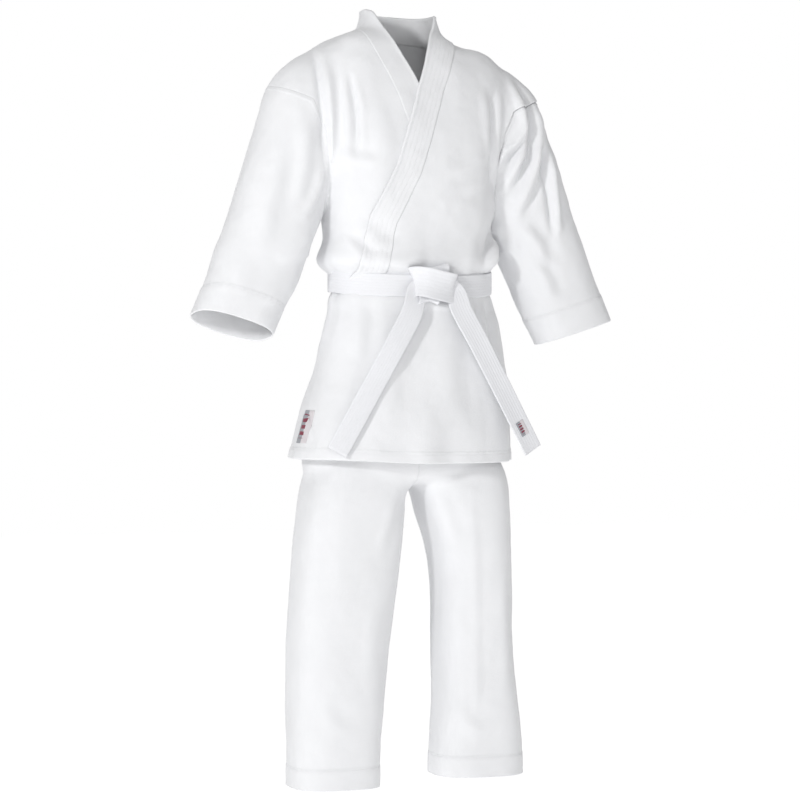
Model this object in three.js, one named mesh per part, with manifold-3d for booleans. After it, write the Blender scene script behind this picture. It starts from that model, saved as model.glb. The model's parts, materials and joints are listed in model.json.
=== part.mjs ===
// A cotton martial arts uniform as it hangs on a wearer: wrap jacket, knotted belt and loose trousers.
// Millimetres, +Z up, the front faces -Y and the wearer's right is -X.
// The origin is the middle of the neck, level with the foot of the collar.
import * as THREE from "three";
import { mergeVertices } from "three/addons/utils/BufferGeometryUtils.js";
import Module from "manifold-3d";

const wasm = await Module();
wasm.setup();

// ---- Cloth and clearances -------------------------------------------------------------------
const cloth = 1.6; // thickness of the canvas
const layerGap = 0.5; // air between two layers that lie on each other
const seamGap = 0.5; // slot between two pieces that are sewn edge to edge
const pivotGap = 2; // room round a piece that turns in another
const flapGap = 1.5; // slot along the edges of the back skirt
const layerPitch = cloth + layerGap;

// ---- Heights below the foot of the collar ----------------------------------------------------
const collarHeight = 36; // above the foot of the collar
const neckFall = 91; // to the point where the two lapels cross
const shoulderFall = 64;
const shoulderCornerFall = 88;
const chestFall = 250;
const ribFall = 340;
const beltFall = 447; // to the middle of the belt
const hipFall = 600;
const jacketLength = 766;
const crotchFall = 806;
const uniformLength = 1364; // to the hem of the trousers

// ---- Half breadths (x) and half depths (y) of the jacket -------------------------------------
const neckHalf = 72;
const shoulderHalf = 196;
const chestHalf = 157;
const ribHalf = 154;
const waistHalf = 130;
const hipHalf = 170;
const hemHalf = 198;
const neckDepth = 62;
const shoulderDepth = 90;
const chestDepth = 116;
const waistDepth = 100;
const hipDepth = 118;
const hemDepth = 128;
const waistShift = 13; // the waist stands a little to the wearer's left
const sideSeam = 20; // y of the side seams and side slits
const yokeFront = -30; // y of the yoke's front edge

// ---- Lapels, belt and small trim --------------------------------------------------------------
const lapelWidth = 44;
const beltWidth = 40;
const beltCloth = 3;
const tailLength = 300;
const tailSwing = 29; // degrees that each tail stands out from straight down
const tailLean = 3; // most degrees that a tail leans back towards the skirt
const tailEase = 2; // least air between a tail and the skirt
const knotBreadth = 62;
const knotHeight = 46;
const knotDepth = 13;
const hemWidth = 18;
const tieWidth = 14;
const tieFront = -12; // y of the front end of each folded tie
const labelCloth = 0.8;

// ---- Sleeves -----------------------------------------------------------------------------------
const sleeveLength = 431; // fall of the sleeve from its top to the cuff
const sleeveSpread = 135; // how far the cuff stands outside the sleeve's top
const sleeveHalf = 80; // half breadth at the elbow
const sleeveDepth = 68;
const cuffHalf = 73;
const cuffDepth = 54;
const cuffHem = 54;
const armTop = { x: 190, fall: 110 };
const armPivot = { x: 190, fall: 150 };
const armBarrel = 88; // radius of the sleeve's turning cap
const armClearance = 9; // between a sleeve and the side of the jacket

// ---- Trousers ------------------------------------------------------------------------------------
const hipEase = 8; // the trousers lie this far inside the jacket
const waistbandWidth = 42;
const gussetHalf = 22;
const legHalf = 83;
const legDepth = 74;
const legHemWidth = 40;
const thighCentre = 105; // x of a leg's middle at its pivot
const ankleCentre = 135;
const legPivotFall = 850;
const legBarrel = 97; // radius of the leg's turning top

const sides = 20; // flats round a body, sleeve or leg
const barrelSides = 28;
const reach = 900; // larger than any half size, for cutting blocks

// ---- Solids -----------------------------------------------------------------------------------------
function solidFromGeometry(geometry) {
  const bare = geometry.clone();
  bare.deleteAttribute("normal");
  bare.deleteAttribute("uv");
  const merged = mergeVertices(bare, 1e-4);
  return new wasm.Manifold(
    new wasm.Mesh({
      numProp: 3,
      vertProperties: merged.attributes.position.array,
      triVerts: new Uint32Array(merged.index.array),
    }),
  );
}

// A closed solid through rings of equal count, listed from the bottom up.
function loft(rings) {
  const count = rings[0].length;
  const points = rings.flat();
  const triangles = [];
  for (let r = 0; r < rings.length - 1; r++) {
    for (let i = 0; i < count; i++) {
      const next = (i + 1) % count;
      const [a, b, c, d] = [r * count + i, r * count + next, (r + 1) * count + next, (r + 1) * count + i];
      triangles.push(a, b, c, a, c, d);
    }
  }
  const middle = (ring) => ring.reduce((sum, p) => sum.add(p), new THREE.Vector3()).divideScalar(count);
  const low = points.push(middle(rings[0])) - 1;
  const high = points.push(middle(rings.at(-1))) - 1;
  const topStart = (rings.length - 1) * count;
  for (let i = 0; i < count; i++) {
    const next = (i + 1) % count;
    triangles.push(low, next, i, high, topStart + i, topStart + next);
  }
  return new wasm.Manifold(
    new wasm.Mesh({
      numProp: 3,
      vertProperties: new Float32Array(points.flatMap((p) => [p.x, p.y, p.z])),
      triVerts: new Uint32Array(triangles),
    }),
  );
}

// One point of a rounded section: a is the half size along X, b along Y.
function sectionPoint(angle, a, b, fullness = 2.35) {
  const c = Math.cos(angle);
  const s = Math.sin(angle);
  const blunt = (v) => Math.sign(v) * Math.abs(v) ** (2 / fullness);
  return [a * blunt(c), b * blunt(s)];
}

const turns = Array.from({ length: sides }, (_, i) => (2 * Math.PI * i) / sides);

// A level body through stations { z, x, y, a, b }; offset grows it along its own slope.
function levelBody(stations, offset) {
  return loft(
    stations.map((s, i) => {
      const below = stations[Math.max(i - 1, 0)];
      const above = stations[Math.min(i + 1, stations.length - 1)];
      const slope = Math.atan2(below.a - above.a, above.z - below.z);
      const a = s.a + offset * Math.cos(slope);
      const z = s.z + offset * Math.sin(slope);
      return turns.map((t) => {
        const [x, y] = sectionPoint(t, a, s.b + offset);
        return new THREE.Vector3(s.x + x, s.y + y, z);
      });
    }),
  );
}

// A tube through stations { x, y, z, w, d }, its sections square to its own line in the XZ plane.
function limb(stations, offset) {
  return loft(
    stations.map((s, i) => {
      const below = stations[Math.max(i - 1, 0)];
      const above = stations[Math.min(i + 1, stations.length - 1)];
      const up = new THREE.Vector3(above.x - below.x, 0, above.z - below.z).normalize();
      return turns.map((t) => {
        const [across, deep] = sectionPoint(t, s.w + offset, s.d + offset, 2.2);
        return new THREE.Vector3(s.x + across * up.z, s.y + deep, s.z - across * up.x);
      });
    }),
  );
}

function block(x0, x1, y0, y1, z0, z1) {
  const geometry = new THREE.BoxGeometry(x1 - x0, y1 - y0, z1 - z0);
  geometry.translate((x0 + x1) / 2, (y0 + y1) / 2, (z0 + z1) / 2);
  return solidFromGeometry(geometry);
}

// A front view outline [[x, z], ...] taken through from y0 to y1.
function frontPrism(outline, y0, y1) {
  const shape = new THREE.Shape(outline.map(([x, z]) => new THREE.Vector2(x, z)));
  const geometry = new THREE.ExtrudeGeometry(shape, { depth: y1 - y0, bevelEnabled: false });
  geometry.rotateX(Math.PI / 2);
  geometry.translate(0, y1, 0);
  return solidFromGeometry(geometry);
}

function barrelAlongY(x, z, radius) {
  const geometry = new THREE.CylinderGeometry(radius, radius, reach, barrelSides);
  geometry.translate(x, 0, z);
  return solidFromGeometry(geometry);
}

function barrelAlongX(z, radius) {
  const geometry = new THREE.CylinderGeometry(radius, radius, reach, barrelSides);
  geometry.rotateZ(Math.PI / 2);
  geometry.translate(0, 0, z);
  return solidFromGeometry(geometry);
}

// ---- The forms that the cloth lies on ---------------------------------------------------------------
const mix = (from, to, share) => from + (to - from) * share;

function torsoStations() {
  return [
    { z: -jacketLength - 30, x: -8, y: -4, a: hemHalf + 3, b: hemDepth + 1 },
    { z: -jacketLength, x: -7, y: -4, a: hemHalf, b: hemDepth },
    {
      z: mix(-jacketLength, -hipFall, 0.5),
      x: 3,
      y: -4,
      a: mix(hemHalf, hipHalf, 0.5) + 2,
      b: mix(hemDepth, hipDepth, 0.5),
    },
    { z: -hipFall, x: waistShift, y: -4, a: hipHalf, b: hipDepth },
    {
      z: mix(-hipFall, -beltFall, 0.5),
      x: waistShift + 2,
      y: -4,
      a: mix(hipHalf, waistHalf, 0.4),
      b: mix(hipDepth, waistDepth, 0.4),
    },
    { z: -beltFall - beltWidth / 2, x: waistShift, y: -4, a: waistHalf + 3, b: waistDepth + 1 },
    { z: -beltFall + beltWidth / 2, x: waistShift, y: -4, a: waistHalf, b: waistDepth },
    { z: -ribFall, x: 8, y: -6, a: ribHalf, b: mix(waistDepth, chestDepth, 0.7) },
    { z: -chestFall, x: 4, y: -7, a: chestHalf, b: chestDepth },
    {
      z: -mix(shoulderCornerFall, chestFall, 0.45),
      x: 2,
      y: -5,
      a: mix(shoulderHalf, chestHalf, 0.45) + 4,
      b: mix(shoulderDepth, chestDepth, 0.7),
    },
    { z: -shoulderCornerFall, x: 0, y: -2, a: shoulderHalf + 6, b: shoulderDepth + 2 },
    { z: -shoulderFall, x: 0, y: 0, a: shoulderHalf, b: shoulderDepth },
    {
      z: mix(-shoulderFall, 0, 0.34),
      x: 0,
      y: 2,
      a: mix(shoulderHalf, neckHalf, 0.3),
      b: mix(shoulderDepth, neckDepth, 0.25),
    },
    {
      z: mix(-shoulderFall, 0, 0.72),
      x: 0,
      y: 4,
      a: mix(shoulderHalf, neckHalf, 0.68),
      b: mix(shoulderDepth, neckDepth, 0.6),
    },
    { z: 0, x: 0, y: 6, a: neckHalf, b: neckDepth },
    { z: collarHeight, x: 0, y: 8, a: neckHalf - 9, b: neckDepth - 6 },
    { z: collarHeight + 30, x: 0, y: 8, a: neckHalf - 14, b: neckDepth - 11 },
  ];
}

const torso = (offset) => levelBody(torsoStations(), offset);
const torsoLayer = (layer, thickness = cloth) =>
  torso(layer * layerPitch + thickness).subtract(torso(layer * layerPitch));

// side is -1 for the wearer's right and +1 for the left.
function armStations(side) {
  const at = (share, w, d) => ({
    x: side * (armTop.x + sleeveSpread * share ** 1.4),
    y: 0,
    z: -armTop.fall - sleeveLength * share,
    w,
    d,
  });
  return [
    at(1.08, cuffHalf - 1, cuffDepth - 1),
    at(1, cuffHalf, cuffDepth),
    at(0.62, sleeveHalf, sleeveDepth),
    at(0.28, sleeveHalf - 4, sleeveDepth + 8),
    at(0.1, sleeveHalf - 10, sleeveDepth + 8),
    at(0, sleeveHalf - 20, sleeveDepth),
    { ...at(-0.04, sleeveHalf - 45, sleeveDepth - 30), x: side * (armTop.x - 6) },
  ];
}

const arm = (side, offset) => limb(armStations(side), offset);

function pelvisStations() {
  const underSkirt = (s) => (s.z < -hipFall - 20 ? 1 : 0);
  const waist = { x: waistShift, y: -4, a: waistHalf - hipEase, b: waistDepth - hipEase };
  const top = -beltFall + beltWidth / 2 + 4;
  return [
    ...torsoStations()
      .filter((s) => s.z < -beltFall && s.z > -crotchFall + 20)
      .map((s) => ({
        ...s,
        a: s.a - hipEase - 8 * underSkirt(s),
        b: s.b - hipEase - 12 * underSkirt(s),
      })),
    { ...waist, z: top },
    { ...waist, z: top + 30 },
  ];
}

const seat = { z: -crotchFall, x: -3, y: -4, a: hemHalf - hipEase - 12, b: hemDepth - hipEase - 22 };
const pelvis = (offset) => levelBody([seat, ...pelvisStations()], offset);

function legStations(side) {
  const at = (fall, centre, w, d) => ({ x: side * centre, y: -4, z: -fall, w, d });
  const knee = mix(legPivotFall, uniformLength, 0.3);
  const shin = mix(legPivotFall, uniformLength, 0.7);
  return [
    at(uniformLength + 30, ankleCentre + 1, legHalf - 1, legDepth - 7),
    at(uniformLength, ankleCentre, legHalf, legDepth - 6),
    at(shin, mix(thighCentre, ankleCentre, 0.88), legHalf, legDepth),
    at(knee, mix(thighCentre, ankleCentre, 0.5), legHalf + 1, legDepth + 8),
    at(legPivotFall, thighCentre, legHalf + 4, legDepth + 18),
    at(crotchFall, thighCentre - 11, legHalf + 4, legDepth + 22),
    at(crotchFall - 60, thighCentre - 24, legHalf - 6, legDepth + 8),
  ];
}

const leg = (side, offset) => limb(legStations(side), offset);

// ---- Cutting tools -----------------------------------------------------------------------------------
const rightHalf = block(-reach, -seamGap / 2, -reach, reach, -2 * reach, reach);
const leftHalf = block(seamGap / 2, reach, -reach, reach, -2 * reach, reach);
const halfOf = (side) => (side < 0 ? rightHalf : leftHalf);
const panelTop = -3; // the panels stop here, at the foot of the collar
const jacketHem = -jacketLength;
const flapTop = -beltFall - beltWidth / 2 - 10;
const yokeFoot = -110;
const armholes = barrelAlongY(-armPivot.x, -armPivot.fall, armBarrel + pivotGap).add(
  barrelAlongY(armPivot.x, -armPivot.fall, armBarrel + pivotGap),
);

// The free edge of a front panel, from the neck to the hem; side is the side that the panel belongs to.
const neckEdge = [
  [neckHalf - 6, 60],
  [neckHalf - 8, 0],
  [4, -neckFall],
];
const wrapEdge = [
  [-45, -neckFall - 150],
  [-91, -neckFall - 242],
  [-waistHalf + 22, -beltFall + beltWidth / 2],
  [-waistHalf + 4, -beltFall - beltWidth / 2],
];
const edgeOf = (side) => [...neckEdge, ...wrapEdge].map(([x, z]) => [side * x, z]);

// Everything on the panel's own side of its free edge, down to the hem.
function panelRegion(side) {
  const past = [
    [side * -(hemHalf + 60), -hipFall],
    [side * -(hemHalf + 60), jacketHem],
    [side * reach, jacketHem],
    [side * reach, 60],
  ];
  const outline = [...edgeOf(side), ...past];
  return frontPrism(side > 0 ? outline.reverse() : outline, -reach, sideSeam - flapGap / 2);
}

// The strip along the free edge, lapelWidth wide.
function lapelRegion(side) {
  const edge = edgeOf(side).slice(1);
  const inner = edge.map(([x, z], i) => {
    const [x0, z0] = edge[Math.max(i - 1, 0)];
    const [x1, z1] = edge[Math.min(i + 1, edge.length - 1)];
    const length = Math.hypot(x1 - x0, z1 - z0);
    return [x - (side * lapelWidth * (z1 - z0)) / length, z + (side * lapelWidth * (x1 - x0)) / length];
  });
  const outline = [...edge, ...inner.reverse()];
  return frontPrism(side > 0 ? outline.reverse() : outline, -reach, yokeFront);
}

const backRegion = block(-reach, reach, sideSeam + seamGap, reach, flapTop + flapGap, panelTop);
const flapRegion = block(-reach, reach, sideSeam + flapGap, reach, jacketHem, flapTop);
const yokeRegion = block(-reach, reach, yokeFront + seamGap, sideSeam, yokeFoot, panelTop);
const frontOfYoke = block(-reach, reach, yokeFront, reach, yokeFoot - seamGap, reach);

// ---- Materials and the scene graph ---------------------------------------------------------------------
const uniform = new THREE.Group();
const finish = (color, roughness) => new THREE.MeshStandardMaterial({ color, roughness, metalness: 0 });
const canvas = finish(0xf2f2f4, 0.92);
const facing = finish(0xe9e9ec, 0.94);
const webbing = finish(0xeeeef2, 0.88);
const labelCotton = finish(0xb9b4b8, 0.8);

function place(name, solid, material, parent = uniform) {
  const { numProp, vertProperties, triVerts, numVert } = solid.getMesh();
  const positions = new Float32Array(numVert * 3);
  for (let i = 0; i < numVert; i++) {
    positions.set(vertProperties.subarray(i * numProp, i * numProp + 3), i * 3);
  }
  const geometry = new THREE.BufferGeometry();
  geometry.setAttribute("position", new THREE.BufferAttribute(positions, 3));
  geometry.setIndex(new THREE.BufferAttribute(triVerts, 1));
  geometry.computeVertexNormals();
  const mesh = new THREE.Mesh(geometry, material);
  mesh.name = name;
  parent.add(mesh);
}

// ---- Jacket -----------------------------------------------------------------------------------
const shell = torsoLayer(0).subtract(armholes);
const overLayer = 2;
const beltLayer = 4;

place("right_front_panel", shell.intersect(panelRegion(-1)).subtract(frontOfYoke), canvas);
place(
  "left_front_panel",
  torsoLayer(overLayer).subtract(armholes).intersect(panelRegion(1)).subtract(frontOfYoke),
  canvas,
);
const underCollar = block(-reach, reach, -reach, reach, -reach, panelTop);
const lapelBand = (side, layer) => torsoLayer(layer).intersect(lapelRegion(side)).intersect(underCollar);
place("right_lapel_band", lapelBand(-1, 1), canvas);
place("left_lapel_band", lapelBand(1, overLayer + 1), canvas);
for (const [side, name] of [[-1, "right"], [1, "left"]]) {
  place(name + "_back_panel", shell.intersect(backRegion).intersect(halfOf(side)), canvas);
  place(name + "_yoke", shell.intersect(yokeRegion).intersect(halfOf(side)), canvas);
  place(name + "_back_skirt", torsoLayer(0).intersect(flapRegion).intersect(halfOf(side)), canvas);
}

// The collar: a standing band round the back and sides of the neck, falling to the lapels in front.
const collarSide = frontPrism(
  [
    [-reach, panelTop + seamGap],
    [reach, panelTop + seamGap],
    [reach, collarHeight],
    [-reach, collarHeight],
  ],
  -neckDepth * 0.45,
  reach,
);
const collarCloth = 3.4; // the band is folded canvas round a core
place("collar_band", torsoLayer(0, collarCloth).intersect(collarSide), canvas);

const hemBand = (y0, y1) => block(-reach, reach, y0, y1, jacketHem, jacketHem + hemWidth);
place("front_hem_facing", torsoLayer(-1).intersect(hemBand(-reach, sideSeam - flapGap)), facing);
place("back_hem_facing", torsoLayer(-1).intersect(hemBand(sideSeam + flapGap * 2, reach)), facing);

const neckLabelHalf = 19;
place(
  "neck_label",
  torsoLayer(-1, labelCloth).intersect(block(-neckLabelHalf, neckLabelHalf, 0, reach, -34, panelTop)),
  labelCotton,
);

const jacketLabelTop = jacketHem + 86;
const jacketLabelFoot = jacketHem + 28;
place(
  "jacket_label",
  torsoLayer(overLayer + 1, labelCloth).intersect(
    block(-reach, 0, -52, -14, jacketLabelFoot, jacketLabelTop),
  ),
  labelCotton,
);

const tieRegion = (x0, x1) =>
  block(x0, x1, tieFront, sideSeam - flapGap, -beltFall - tieWidth / 2, -beltFall + tieWidth / 2);
place("outer_tie", torsoLayer(overLayer + 1, 1).intersect(tieRegion(-reach, -waistHalf * 0.75)), facing);
place("inner_tie", torsoLayer(-1, 1).intersect(tieRegion(waistHalf * 0.75, reach)), facing);

// ---- Sleeves: the cap turns in the armhole about the Y axis ----------------------------------
function sleeve(side, name) {
  const barrel = barrelAlongY(side * armPivot.x, -armPivot.fall, armBarrel);
  const cap = torso(cloth).add(arm(side, cloth)).subtract(torso(0).add(arm(side, 0))).intersect(barrel);
  const below = block(-reach, reach, -reach, reach, -reach, -armPivot.fall);
  const tube = arm(side, cloth).subtract(arm(side, 0)).subtract(torso(armClearance)).intersect(below);
  const end = armStations(side)[1];
  const run = armStations(side)[2];
  const up = new THREE.Vector3(run.x - end.x, 0, run.z - end.z).normalize();
  // A half space on the shoulder's side of the line at this distance up the sleeve from the cuff.
  const above = (distance) => {
    const geometry = new THREE.BoxGeometry(reach * 2, reach * 2, reach * 2);
    geometry.translate(0, 0, reach + distance);
    geometry.rotateY(Math.atan2(up.x, up.z));
    geometry.translate(end.x, end.y, end.z);
    return solidFromGeometry(geometry);
  };
  const whole = cap.add(tube);
  place(name + "_sleeve", whole.intersect(above(cuffHem + seamGap)), canvas);
  const hem = arm(side, cloth * 2).subtract(arm(side, 0));
  place(name + "_cuff_hem", hem.intersect(above(0)).subtract(above(cuffHem)), canvas);
}
sleeve(-1, "right");
sleeve(1, "left");

// ---- Belt: two wraps, a knot of two loops and two tails --------------------------------------
const beltRegion = block(-reach, reach, -reach, reach, -beltFall - beltWidth / 2, -beltFall + beltWidth / 2);
const innerWrap = beltLayer * layerPitch;
const outerWrap = innerWrap + beltCloth + layerGap;
const wrapAt = (offset) => torso(offset + beltCloth).subtract(torso(offset)).intersect(beltRegion);
place("belt_inner_wrap", wrapAt(innerWrap), webbing);
place("belt_outer_wrap", wrapAt(outerWrap), webbing);

const knotX = 17;
const knotZ = -beltFall - 9;
const knotEase = 2.5; // room for the outer wrap, which leans out towards the skirt
const knotBack = -4 - waistDepth - outerWrap - beltCloth - knotEase; // y of the knot's rear face

function roundedPlate(breadth, height, depth, corner) {
  const shape = new THREE.Shape();
  const [w, h] = [breadth / 2 - corner, height / 2 - corner];
  shape.absarc(w, h, corner, 0, Math.PI / 2);
  shape.absarc(-w, h, corner, Math.PI / 2, Math.PI);
  shape.absarc(-w, -h, corner, Math.PI, 1.5 * Math.PI);
  shape.absarc(w, -h, corner, 1.5 * Math.PI, 2 * Math.PI);
  const geometry = new THREE.ExtrudeGeometry(shape, { depth, bevelEnabled: false, curveSegments: 5 });
  geometry.rotateX(Math.PI / 2);
  return geometry;
}

const knotLoop = roundedPlate(knotBreadth, knotHeight, knotDepth, 12);
knotLoop.translate(knotX, knotBack, knotZ);
place("knot_loop", solidFromGeometry(knotLoop), webbing);

const bandDepth = 7;
const knotBand = roundedPlate(beltWidth, knotHeight + 12, bandDepth, 10);
knotBand.rotateY(THREE.MathUtils.degToRad(24));
knotBand.translate(knotX - 3, knotBack - knotDepth - layerGap, knotZ);
place("knot_band", solidFromGeometry(knotBand), webbing);

const tailTopZ = knotZ - knotHeight / 2 - 10;
const tailTopY = knotBack - knotDepth / 2 - bandDepth;
const tailEnds = { right: { side: -1, x: knotX - 34 }, left: { side: 1, x: knotX + 42 } };

// y of the jacket's front, over all its layers, at a place in the front view.
function jacketFront(x, z) {
  const stations = torsoStations();
  const next = stations.findIndex((s) => s.z > z);
  const [low, high] = [stations[next - 1], stations[next]];
  const at = (key) => mix(low[key], high[key], (z - low.z) / (high.z - low.z));
  const out = Math.min(Math.abs(x - at("x")) / at("a"), 1);
  return at("y") - (at("b") + beltLayer * layerPitch) * (1 - out ** 2.35) ** (1 / 2.35);
}

// A tail leans back as far as tailLean, or as far as the flare of the skirt lets it.
function leanOf(side, x) {
  const swing = THREE.MathUtils.degToRad(tailSwing);
  let lean = THREE.MathUtils.degToRad(tailLean);
  for (let along = tailLength * 0.1; along <= tailLength; along += tailLength * 0.05) {
    for (const across of [-beltWidth / 2, 0, beltWidth / 2]) {
      const [right, down] = [
        x + side * (along * Math.sin(swing) + across * Math.cos(swing)),
        tailTopZ - along * Math.cos(swing) + across * Math.sin(swing),
      ];
      if (down < -jacketLength) continue;
      const room = jacketFront(right, down) - tailEase - beltCloth / 2 - tailTopY;
      lean = Math.min(lean, Math.atan2(room, along));
    }
  }
  return lean;
}

for (const [name, { side, x }] of Object.entries(tailEnds)) {
  const tail = new THREE.Group();
  tail.position.set(x, tailTopY, tailTopZ);
  tail.rotation.order = "YXZ";
  tail.rotation.y = THREE.MathUtils.degToRad(-side * tailSwing);
  tail.rotation.x = leanOf(side, x);
  uniform.add(tail);
  const strip = new THREE.BoxGeometry(beltWidth, beltCloth, tailLength, 1, 1, 1);
  strip.translate(0, 0, -tailLength / 2);
  place(name + "_belt_tail", solidFromGeometry(strip), webbing, tail);
  if (side > 0) {
    const patch = new THREE.BoxGeometry(17, labelCloth, 26);
    patch.translate(0, -beltCloth / 2 - layerGap - labelCloth / 2, -tailLength + 26);
    place("belt_label", solidFromGeometry(patch), labelCotton, tail);
  }
}

// ---- Trousers: hips and gusset, with two legs that turn about the X axis ---------------------
const bothLegs = (offset) => leg(-1, offset).add(leg(1, offset));
const trouserShell = pelvis(cloth).add(bothLegs(cloth)).subtract(pelvis(0).add(bothLegs(0)));
const legPivot = -legPivotFall;
const waistTop = -beltFall + beltWidth / 2;
const belowPivot = block(-reach, reach, -reach, reach, -2 * reach, legPivot);
const legZone = (radius) => barrelAlongX(legPivot, radius).add(belowPivot);
const hips = trouserShell
  .intersect(block(-reach, reach, -reach, reach, legPivot, waistTop))
  .subtract(legZone(legBarrel + pivotGap));
place("right_hip_panel", hips.intersect(rightHalf), canvas);
place("left_hip_panel", hips.intersect(leftHalf), canvas);
const gussetStrip = block(-gussetHalf, gussetHalf, -reach, reach, -crotchFall - 90, 0);
place("crotch_gusset", trouserShell.intersect(legZone(legBarrel)).intersect(gussetStrip), canvas);

const waistband = (offset, thickness) => pelvis(offset + thickness).subtract(pelvis(offset));
const bandRegion = (width) => block(-reach, reach, -reach, reach, waistTop - width, waistTop);
place("waistband", waistband(cloth + layerGap, cloth).intersect(bandRegion(waistbandWidth)), canvas);
const elasticCloth = 1.2;
place(
  "waist_elastic",
  waistband(-elasticCloth - layerGap, elasticCloth).intersect(bandRegion(waistbandWidth - 8)),
  facing,
);

for (const [side, name] of [[-1, "right"], [1, "left"]]) {
  const outside = block(gussetHalf + seamGap, reach, -reach, reach, -2 * reach, 0);
  const inside = block(-reach, -gussetHalf - seamGap, -reach, reach, -2 * reach, 0);
  const hemTop = -uniformLength + legHemWidth;
  const legCloth = trouserShell.intersect(legZone(legBarrel)).intersect(side > 0 ? outside : inside);
  const span = block(-reach, reach, -reach, reach, hemTop + seamGap, 0);
  place(name + "_leg", legCloth.intersect(span), canvas);
  const hem = leg(side, cloth * 2).subtract(leg(side, 0));
  const hemSpan = block(-reach, reach, -reach, reach, -uniformLength, hemTop);
  place(name + "_leg_hem", hem.intersect(hemSpan), canvas);
}

export default uniform;
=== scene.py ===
import json
import math

import bmesh
import bpy
import numpy as np
from bpy.props import FloatProperty, FloatVectorProperty, PointerProperty
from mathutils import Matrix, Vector


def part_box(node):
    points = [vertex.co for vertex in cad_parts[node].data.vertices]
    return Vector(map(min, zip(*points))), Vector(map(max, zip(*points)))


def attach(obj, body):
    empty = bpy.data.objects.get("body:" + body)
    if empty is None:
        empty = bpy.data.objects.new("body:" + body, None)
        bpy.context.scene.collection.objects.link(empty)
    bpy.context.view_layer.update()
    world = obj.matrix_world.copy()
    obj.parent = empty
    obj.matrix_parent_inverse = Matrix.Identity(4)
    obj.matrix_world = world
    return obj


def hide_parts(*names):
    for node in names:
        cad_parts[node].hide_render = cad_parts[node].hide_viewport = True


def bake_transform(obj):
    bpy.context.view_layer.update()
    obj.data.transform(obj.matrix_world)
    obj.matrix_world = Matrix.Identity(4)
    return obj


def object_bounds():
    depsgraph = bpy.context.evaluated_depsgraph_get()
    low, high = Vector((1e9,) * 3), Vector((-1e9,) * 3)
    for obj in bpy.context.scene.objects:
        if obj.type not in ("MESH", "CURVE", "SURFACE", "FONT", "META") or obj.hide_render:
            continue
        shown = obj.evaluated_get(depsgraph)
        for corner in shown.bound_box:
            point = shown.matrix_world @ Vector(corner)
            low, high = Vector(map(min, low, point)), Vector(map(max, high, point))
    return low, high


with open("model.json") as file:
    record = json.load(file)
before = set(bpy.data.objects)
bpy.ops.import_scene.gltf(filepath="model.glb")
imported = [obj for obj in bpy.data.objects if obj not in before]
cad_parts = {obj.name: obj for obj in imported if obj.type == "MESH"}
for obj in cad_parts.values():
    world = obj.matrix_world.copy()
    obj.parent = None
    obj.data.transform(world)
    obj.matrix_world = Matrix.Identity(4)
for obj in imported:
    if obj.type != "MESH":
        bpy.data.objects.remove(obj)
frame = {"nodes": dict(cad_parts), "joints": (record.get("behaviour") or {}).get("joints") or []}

bl_info = {
    "name": "Martial arts uniform",
    "version": (1, 0, 0),
    "blender": (4, 5, 0),
    "location": "View3D > Sidebar > Uniform",
    "description": "Builds a crossover jacket, a knotted belt and straight trousers round their frame",
    "category": "Add Mesh",
}

CAD_BOX = [list(corner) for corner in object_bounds()]

# Columns of a cloth's rows: place now, outward normal, place before folding, weave coordinates.
PLACE, NORMAL, REST, WEAVE = slice(0, 3), slice(3, 6), slice(6, 9), slice(9, 11)
SECTION_POWER = 2.6
ARM_POWER = 2.5
LEG_POWER = 2.9
RING = 120
FLOOR_FALL = 0.45  # the floor lies below the trousers, even where they have dropped as far as they go


# ---- Measures taken from the frame ---------------------------------------------------------------


def node_triangles(nodes):
    """The triangles of some CAD nodes, as an array of three corners each."""
    found = []
    for name in nodes:
        mesh = frame["nodes"][name].data
        mesh.calc_loop_triangles()
        places = np.array([v.co for v in mesh.vertices])
        found.append(places[np.array([t.vertices for t in mesh.loop_triangles])])
    return np.concatenate(found)


def level_section(triangles, z):
    """Lowest and highest (x, y) where the triangles cross a level."""
    heights = triangles[:, :, 2] - z
    points = []
    for i, j in ((0, 1), (1, 2), (2, 0)):
        crossing = heights[:, i] * heights[:, j] < 0
        a, b = triangles[crossing, i], triangles[crossing, j]
        share = (heights[crossing, i] / (heights[crossing, i] - heights[crossing, j]))[:, None]
        points.append(a + share * (b - a))
    points = np.concatenate(points)[:, :2]
    return points.min(0), points.max(0)


def joint_place(name):
    return Vector(next(j for j in frame["joints"] if j["name"] == name)["pos_m"])


def box_middle(node):
    low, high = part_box(node)
    return (low + high) / 2


SKIRT_LOW, SKIRT_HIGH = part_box("right_back_skirt")
HEM_Z = SKIRT_LOW.z
BELT_Z = box_middle("belt_outer_wrap").z
BELT_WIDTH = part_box("belt_outer_wrap")[1].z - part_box("belt_outer_wrap")[0].z
COLLAR_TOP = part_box("collar_band")[1].z
LAPEL_CROSS_Z = -0.100
SIDE_SEAM_Y = 0.020
TROUSER_HEM_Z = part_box("right_leg_hem")[0].z
WAIST_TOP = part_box("waistband")[1].z
LEG_PIVOT = joint_place("left_leg_swing")
ARM_PIVOT = joint_place("left_sleeve_raise")
SHOULDER_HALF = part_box("left_yoke")[1].x
BLOUSE = 0.022  # the jacket hangs out this far over the belt
BLOUSE_Z = BELT_Z + 0.040


# ---- Numbers shared by all the cloth -------------------------------------------------------------


def smoothstep(value, low, high):
    t = np.clip((value - low) / (high - low), 0, 1)
    return t * t * (3 - 2 * t)


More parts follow.
